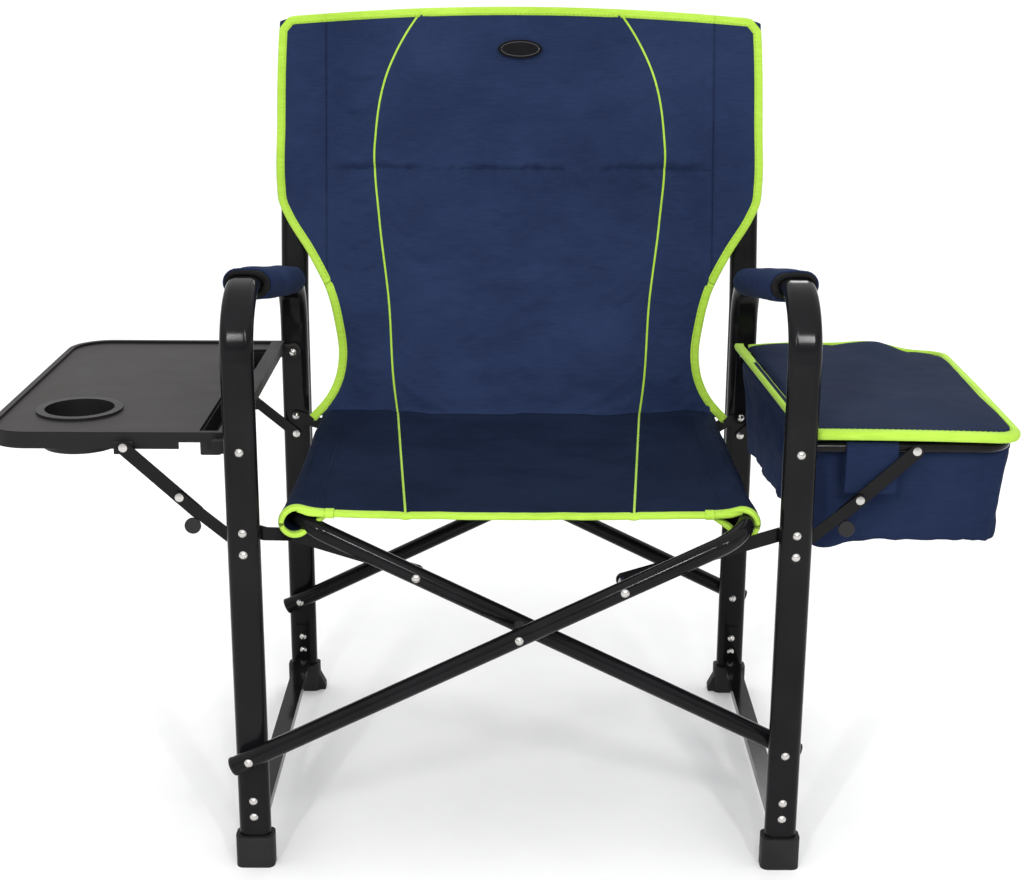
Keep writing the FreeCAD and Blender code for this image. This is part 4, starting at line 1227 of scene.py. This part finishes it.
# ---- cooler bag --------------------------------------------------------------------------
@dataclass
class CoolerBag:
    """Bag that hangs in its bent bar, with a padded lid bound in lime tape."""

    keep: float = 0.17
    hang: float = 0.5135
    corner: float = 0.026
    slant: float = 0.028
    corner_sag: float = 0.015
    lid_corner: float = 0.030
    crest: float = 0.013
    rear_out: float = 0.010
    rear_in: float = 0.0235
    band_x: float = 0.322
    band_wide: float = 0.0100
    loop_keep: float = 0.35
    bar: float = 0.0065
    loop_x: tuple = (0.372, 0.432)

    def outline(self, turn_count: int, grow: float) -> np.ndarray:
        """Rounded rectangle round the bag's body, seen from above.

        Args:
            turn_count: number of points.
            grow: distance out from the CAD body.

        Returns:
            Points as (x, y), anticlockwise.
        """
        low, high = box_of("bag_body")
        r = self.corner
        x0, x1, y0, y1 = low.x - grow, high.x + grow, low.y - grow, high.y + grow
        front_x = x0 + self.slant
        corners = [(x1 - r, y0 + r, -90), (x1 - r, y1 - r, 0), (x0 + r, y1 - r, 90), (front_x + r, y0 + r, 180)]
        points = []
        for cx, cy, start in corners:
            for angle in np.radians(np.linspace(start, start + 90, 9)):
                points.append((cx + r * math.cos(angle), cy + r * math.sin(angle), 0))
        points.append(points[0])
        even = resampled(np.array(points), 0.001)
        pick = np.linspace(0, len(even) - 1, turn_count + 1)[:-1].astype(int)
        return even[pick][:, :2]

    def body_grid(self) -> np.ndarray:
        """Settled wall and floor of the bag, from the rim to the middle of the floor."""
        low, high = box_of("bag_body")
        around = 200
        outline = self.outline(around, -0.003)
        middle = outline.mean(axis=0)
        rows = []
        for v in np.linspace(0, 1, 34):
            z = high.z - v * (high.z - low.z - 0.002)
            pull = 1 - 0.012 * v + 0.008 * math.sin(math.pi * v)
            ring = middle + (outline - middle) * pull
            rows.append(np.column_stack([ring, np.full(around, z)]))
        for share in np.linspace(0.985, 0.02, 22):
            ring = middle + (outline - middle) * 0.988 * share
            drop = 0.0035 * (1 - share) ** 0.5
            rows.append(np.column_stack([ring, np.full(around, low.z + 0.0015 - drop + 0.003)]))
        grid = np.array(rows)
        level = (high.z - grid[..., 2]) / (high.z - low.z)
        out = unit(np.concatenate([grid[..., :2] - middle, np.zeros_like(grid[..., :1])], axis=-1))
        folds = wrinkles(grid, (26, 26, 9), 0.0065, 5.0) + wrinkles(grid, (9, 9, 24), 0.0035, 1.0)
        grid += out * (folds * smooth_step(level, 0.02, 0.35))[..., None]
        sag_side = smooth_step(high.x - grid[..., 0], 0.15, 0.27) * smooth_step(-grid[..., 1], 0.05, 0.25)
        grid[..., 2] -= self.corner_sag * sag_side * smooth_step(level, 0.3, 0.9)
        held = np.zeros(grid.shape[:2])
        held[:2] = 1
        return settled_grid(grid, held, ClothRun(slack=0.015, stiffness=10, bending=0.3, cap=0.008), True)

    def lid_outline(self) -> np.ndarray:
        """Edge of the lid, seen from above: straight by the chair, rounded outside."""
        low, high = box_of("bag_lid")
        r = self.lid_corner
        x0, x1, y0, y1 = low.x, high.x - 0.001, low.y, high.y
        points = [(x0 - 0.001, y0)]
        for cx, cy, start in ((x1 - r, y0 + r, -90), (x1 + self.rear_out - r, y1 - r, 0)):
            for angle in np.radians(np.linspace(start, start + 90, 12)):
                points.append((cx + r * math.cos(angle), cy + r * math.sin(angle)))
        points += [(x0 - self.rear_in, y1), (x0 - 0.001, y0)]
        return np.array([(x, y, 0) for x, y in points])

    def lid_height(self, x: np.ndarray, y: np.ndarray) -> np.ndarray:
        """Height of the lid's top face, wavy at the back and low outside."""
        low, high = box_of("bag_lid")
        out = (x - low.x) / (high.x - low.x)
        back = (y - low.y) / (high.y - low.y)
        wave = 0.004 * np.sin(math.pi * out * 1.6 + 0.4) * smooth_step(back, 0.5, 1.0)
        crest = self.crest * np.exp(-((out - 0.62) / 0.17) ** 2 - ((back - 0.93) / 0.11) ** 2)
        return high.z - 0.0035 - 0.004 * out ** 2 + wave + crest

    def build_lid(self) -> None:
        """Build the padded lid, its lime binding and stitches."""
        edge = resampled(self.lid_outline(), 0.005)[:-1]
        middle = edge.mean(axis=0)
        shares = np.concatenate([np.linspace(0.02, 0.9, 20), np.linspace(0.93, 1.0, 5)])
        layers = []
        for up in (1, -1):
            rings = []
            for share in shares if up > 0 else shares[::-1]:
                ring = middle + (edge - middle) * share
                puff = 0.0052 * (1 - share ** 6) + 0.0012
                z = self.lid_height(ring[:, 0], ring[:, 1]) - 0.0055 + up * puff
                rings.append(np.column_stack([ring[:, :2], z]))
            layers += rings
        grid = np.array(layers)
        inside = smooth_step(np.concatenate([1 - shares, (1 - shares)[::-1]]), 0.0, 0.12)[:, None]
        grid[..., 2] += (wrinkles(grid, (7, 7, 4), 0.0035, 4.0) + wrinkles(grid, (24, 18, 9), 0.0012, 6.0)) * inside
        count = len(edge)
        faces = grid_faces(len(grid), count, 0, True, True)
        faces += [tuple(range(count)), tuple(range((len(grid) - 1) * count, len(grid) * count))[::-1]]
        lid = make_piece("bag_lid_panel", grid, faces, LID_CLOTH, Slot.NAVY, "bag_lid")
        puffed(lid, 0.004, ClothRun(pressure=3.0, gravity=0.0, cap=0.003))
        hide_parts("bag_lid")
        path = np.column_stack([edge[:, :2], self.lid_height(edge[:, 0], edge[:, 1]) - 0.0055])
        up = np.tile((0.0, 0.0, 1.0), (len(path), 1))
        share = (edge[:, 1] - edge[:, 1].min()) / np.ptp(edge[:, 1])
        low = box_of("bag_lid")[0]
        free = edge[:, 0] > low.x - 0.001 - (self.rear_in - 0.001) * share + 0.0015
        path = path[free]
        up = up[free]
        points, faces = sweep(path, up, tape_profile(0.0105, 0.0056, 0.0022), 1)
        make_piece("bag_lid_binding", points, faces, LIME_TAPE, Slot.NAVY, "bag_lid")
        ahead = unit(np.gradient(path, axis=0))
        side = unit(np.cross(up, ahead))
        points, faces = stitch_run(path + side * 0.008 + up * 0.0058, up)
        make_piece("bag_lid_stitches", points, faces, LIME_THREAD, Slot.NAVY, "bag_lid")

    def build_band(self) -> None:
        """Build the fixed padded edge on the chair side, bound in lime tape."""
        low, high = box_of("bag_band")
        wide = self.band_wide
        corners = [(self.band_x, low.y), (self.band_x + wide, low.y), (low.x + wide, high.y), (low.x, high.y)]
        edge = resampled(np.array([(x, y, 0) for x, y in [*corners, corners[0]]]), 0.005)[:-1]
        middle = edge.mean(axis=0)
        z0 = low.z + 0.0055
        rings = []
        for up in (1, -1):
            for share in (0.05, 0.4, 0.75, 0.92, 1.0)[::up]:
                ring = middle + (edge - middle) * share
                level = z0 + up * (0.001 + 0.004 * (1 - share ** 4))
                rings.append(np.column_stack([ring[:, :2], np.full(len(edge), level)]))
        grid = np.array(rings)
        count = len(edge)
        faces = grid_faces(len(grid), count, 0, True, True)
        faces += [tuple(range(count)), tuple(range((len(grid) - 1) * count, len(grid) * count))[::-1]]
        band = make_piece("bag_edge_band", grid, faces, LID_CLOTH, Slot.NAVY, "bag")
        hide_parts("bag_band")
        line = [(self.band_x + wide, low.y - 0.001, z0), (self.band_x, low.y - 0.001, z0), (low.x, high.y, z0),
                (low.x + wide, high.y, z0)]
        path = resampled(np.array(line), 0.005)
        up = np.tile((0.0, 0.0, 1.0), (len(path), 1))
        points, faces = sweep(path, up, tape_profile(0.009, 0.0045, 0.002), -1)
        make_piece("bag_band_binding", points, faces, LIME_TAPE, Slot.NAVY, "bag")

    def build_loops(self) -> None:
        """Wrap a fabric loop over each side of the bar and sew it to the body."""
        low, high = box_of("bag_frame")
        bar = self.bar
        round_bar = bar + 0.0014
        top = high.z - 0.0035
        for word, y, outward in (("front", low.y + bar, -1), ("rear", high.y - bar, 1)):
            profile = [(y + outward * -0.012, self.hang - 0.045), (y - outward * (bar + 0.0012), self.hang + 0.004)]
            for angle in np.radians(np.linspace(180, 0, 13)):
                profile.append((y + outward * round_bar * math.cos(angle), top - bar + round_bar * math.sin(angle)))
            profile.append((y + outward * (bar + 0.0010), self.hang - 0.010))
            profile.append((y + outward * (bar + 0.0002), self.hang - 0.048))
            line = resampled(np.array([(0, a, b) for a, b in profile]), 0.003)
            grid = np.array([[(x, p[1], p[2]) for x in np.linspace(*self.loop_x, 24)] for p in line])
            grid[..., 1] += outward * wrinkles(grid, (30, 9, 30), 0.0012, 2.5)
            loop = make_piece(f"bag_{word}_loop", *shell(grid, 0.0016), BAG_CLOTH, Slot.NAVY, "bag")
            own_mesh(loop)

    def build(self) -> None:
        """Build the body, rim, lid, band and loops."""
        grid = self.body_grid()
        body = make_piece("bag_shell", *shell(grid, 0.003, True), BAG_CLOTH, Slot.NAVY, "bag")
        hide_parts("bag_body")
        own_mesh(body)
        rim = grid[0]
        out = np.concatenate([unit(rim[:, :2] - rim[:, :2].mean(axis=0)), np.zeros((len(rim), 1))], axis=1)
        points, faces = sweep(rim, out, tape_profile(0.012, 0.0024), 1, True)
        make_piece("bag_rim_hem", points, faces, BAG_CLOTH, Slot.NAVY, "bag")
        self.build_lid()
        self.build_band()
        self.build_loops()


# ---- studio ------------------------------------------------------------------------------
@dataclass
class Studio:
    """Pale floor, soft lights and the camera."""

    camera_place: Row = (-0.0109, -2.1524, 1.0752)
    yaw: float = -0.048
    pitch: float = -16.2255
    roll: float = -0.276
    lens: float = 60.45
    floor_sides: int = 64
    floor_rise: tuple = ((22.0, 0.0), (26.0, 0.25), (30.0, 0.9), (34.0, 2.0), (38.0, 3.6), (42.0, 6.0))
    side_light: float = 0.42
    top_light: float = 1.35

    def build_floor(self) -> None:
        """Lay a large pale floor under the chair, rising far away so that no horizon shows."""
        finish = HardFinish("pale_floor", (0.93, 0.93, 0.93), (0.95, 0.95, 0.95), 0.7, 0.9, 60, 0.0001, specular=0.2)
        count = self.floor_sides
        turn = np.linspace(0, math.tau, count, endpoint=False)
        points = [(r * math.cos(a), r * math.sin(a), z) for r, z in self.floor_rise for a in turn]
        faces = grid_faces(len(self.floor_rise), count, 0, True, True)
        mesh = bpy.data.meshes.new("floor")
        mesh.from_pydata(points, [], [tuple(range(count)), *faces])
        mesh.materials.append(finish.build())
        floor = bpy.data.objects.new("floor", mesh)
        bpy.context.scene.collection.objects.link(floor)

    def add_light(self, name: str, place: Row, size: tuple[float, float], power: float) -> None:
        """Aim one soft box at the chair.

        Args:
            name: the light's name.
            place: where it stands.
            size: its width and height.
            power: its power in watts.
        """
        data = bpy.data.lights.new(name, "AREA")
        data.shape = "RECTANGLE"
        data.size, data.size_y = size
        data.energy = power
        light = bpy.data.objects.new(name, data)
        light.location = place
        aim = Vector((0, 0, 0.5)) - Vector(place)
        light.rotation_euler = aim.to_track_quat("-Z", "Y").to_euler()
        bpy.context.scene.collection.objects.link(light)

    def build_camera(self) -> None:
        """Place the camera."""
        data = bpy.data.cameras.new("camera")
        data.lens = self.lens
        data.sensor_fit = "HORIZONTAL"
        data.sensor_width = 36.0
        data.clip_end = 200
        camera = bpy.data.objects.new("camera", data)
        turn = (Matrix.Rotation(math.radians(self.yaw), 4, "Z") @ Matrix.Rotation(math.radians(self.pitch), 4, "X")
                @ Matrix.Rotation(math.radians(self.roll), 4, "Y") @ Matrix.Rotation(math.radians(90), 4, "X"))
        x, y, z = self.camera_place
        camera.matrix_world = Matrix.Translation((x + CENTRE_X, y, z)) @ turn
        bpy.context.scene.collection.objects.link(camera)
        bpy.context.scene.camera = camera

    def build_sky(self) -> None:
        """Light the room evenly, stronger from above than from the sides."""
        world = bpy.data.worlds.new("sky_light")
        world.use_nodes = True
        tree = world.node_tree
        coordinates = tree.nodes.new("ShaderNodeTexCoord")
        split = tree.nodes.new("ShaderNodeSeparateXYZ")
        ramp = tree.nodes.new("ShaderNodeMapRange")
        ramp.interpolation_type = "SMOOTHSTEP"
        ramp.inputs["From Min"].default_value = 0.05
        ramp.inputs["From Max"].default_value = 0.75
        ramp.inputs["To Min"].default_value = self.side_light
        ramp.inputs["To Max"].default_value = self.top_light
        tree.nodes["Background"].inputs["Color"].default_value = (1, 1, 1, 1)
        tree.links.new(coordinates.outputs["Generated"], split.inputs["Vector"])
        tree.links.new(split.outputs["Z"], ramp.inputs["Value"])
        tree.links.new(ramp.outputs["Result"], tree.nodes["Background"].inputs["Strength"])
        bpy.context.scene.world = world

    def build(self) -> None:
        """Set up the floor, lights, sky light and camera."""
        self.build_camera()
        self.build_floor()
        self.add_light("left_strip", (-0.85, -2.8, 2.0), (0.09, 0.5), 18)
        self.add_light("middle_strip", (0.30, -3.0, 2.5), (0.09, 0.45), 15)
        self.add_light("right_strip", (0.85, -2.7, 2.0), (0.09, 0.5), 16)
        self.add_light("back_box", (0.6, 2.6, 1.9), (0.8, 0.8), 10)
        self.build_sky()
        bpy.context.scene.view_settings.view_transform = "Standard"


def main() -> None:
    """Build the studio, dress the hard parts and build every soft piece."""
    logging.basicConfig(level=logging.INFO, format="%(name)s: %(message)s")
    Studio().build()
    HardParts().build()
    BackSling().build()
    SeatSling().build()
    for side in Side:
        ArmPad(side).build()
    CoolerBag().build()


if __name__ == "__main__":
    main()
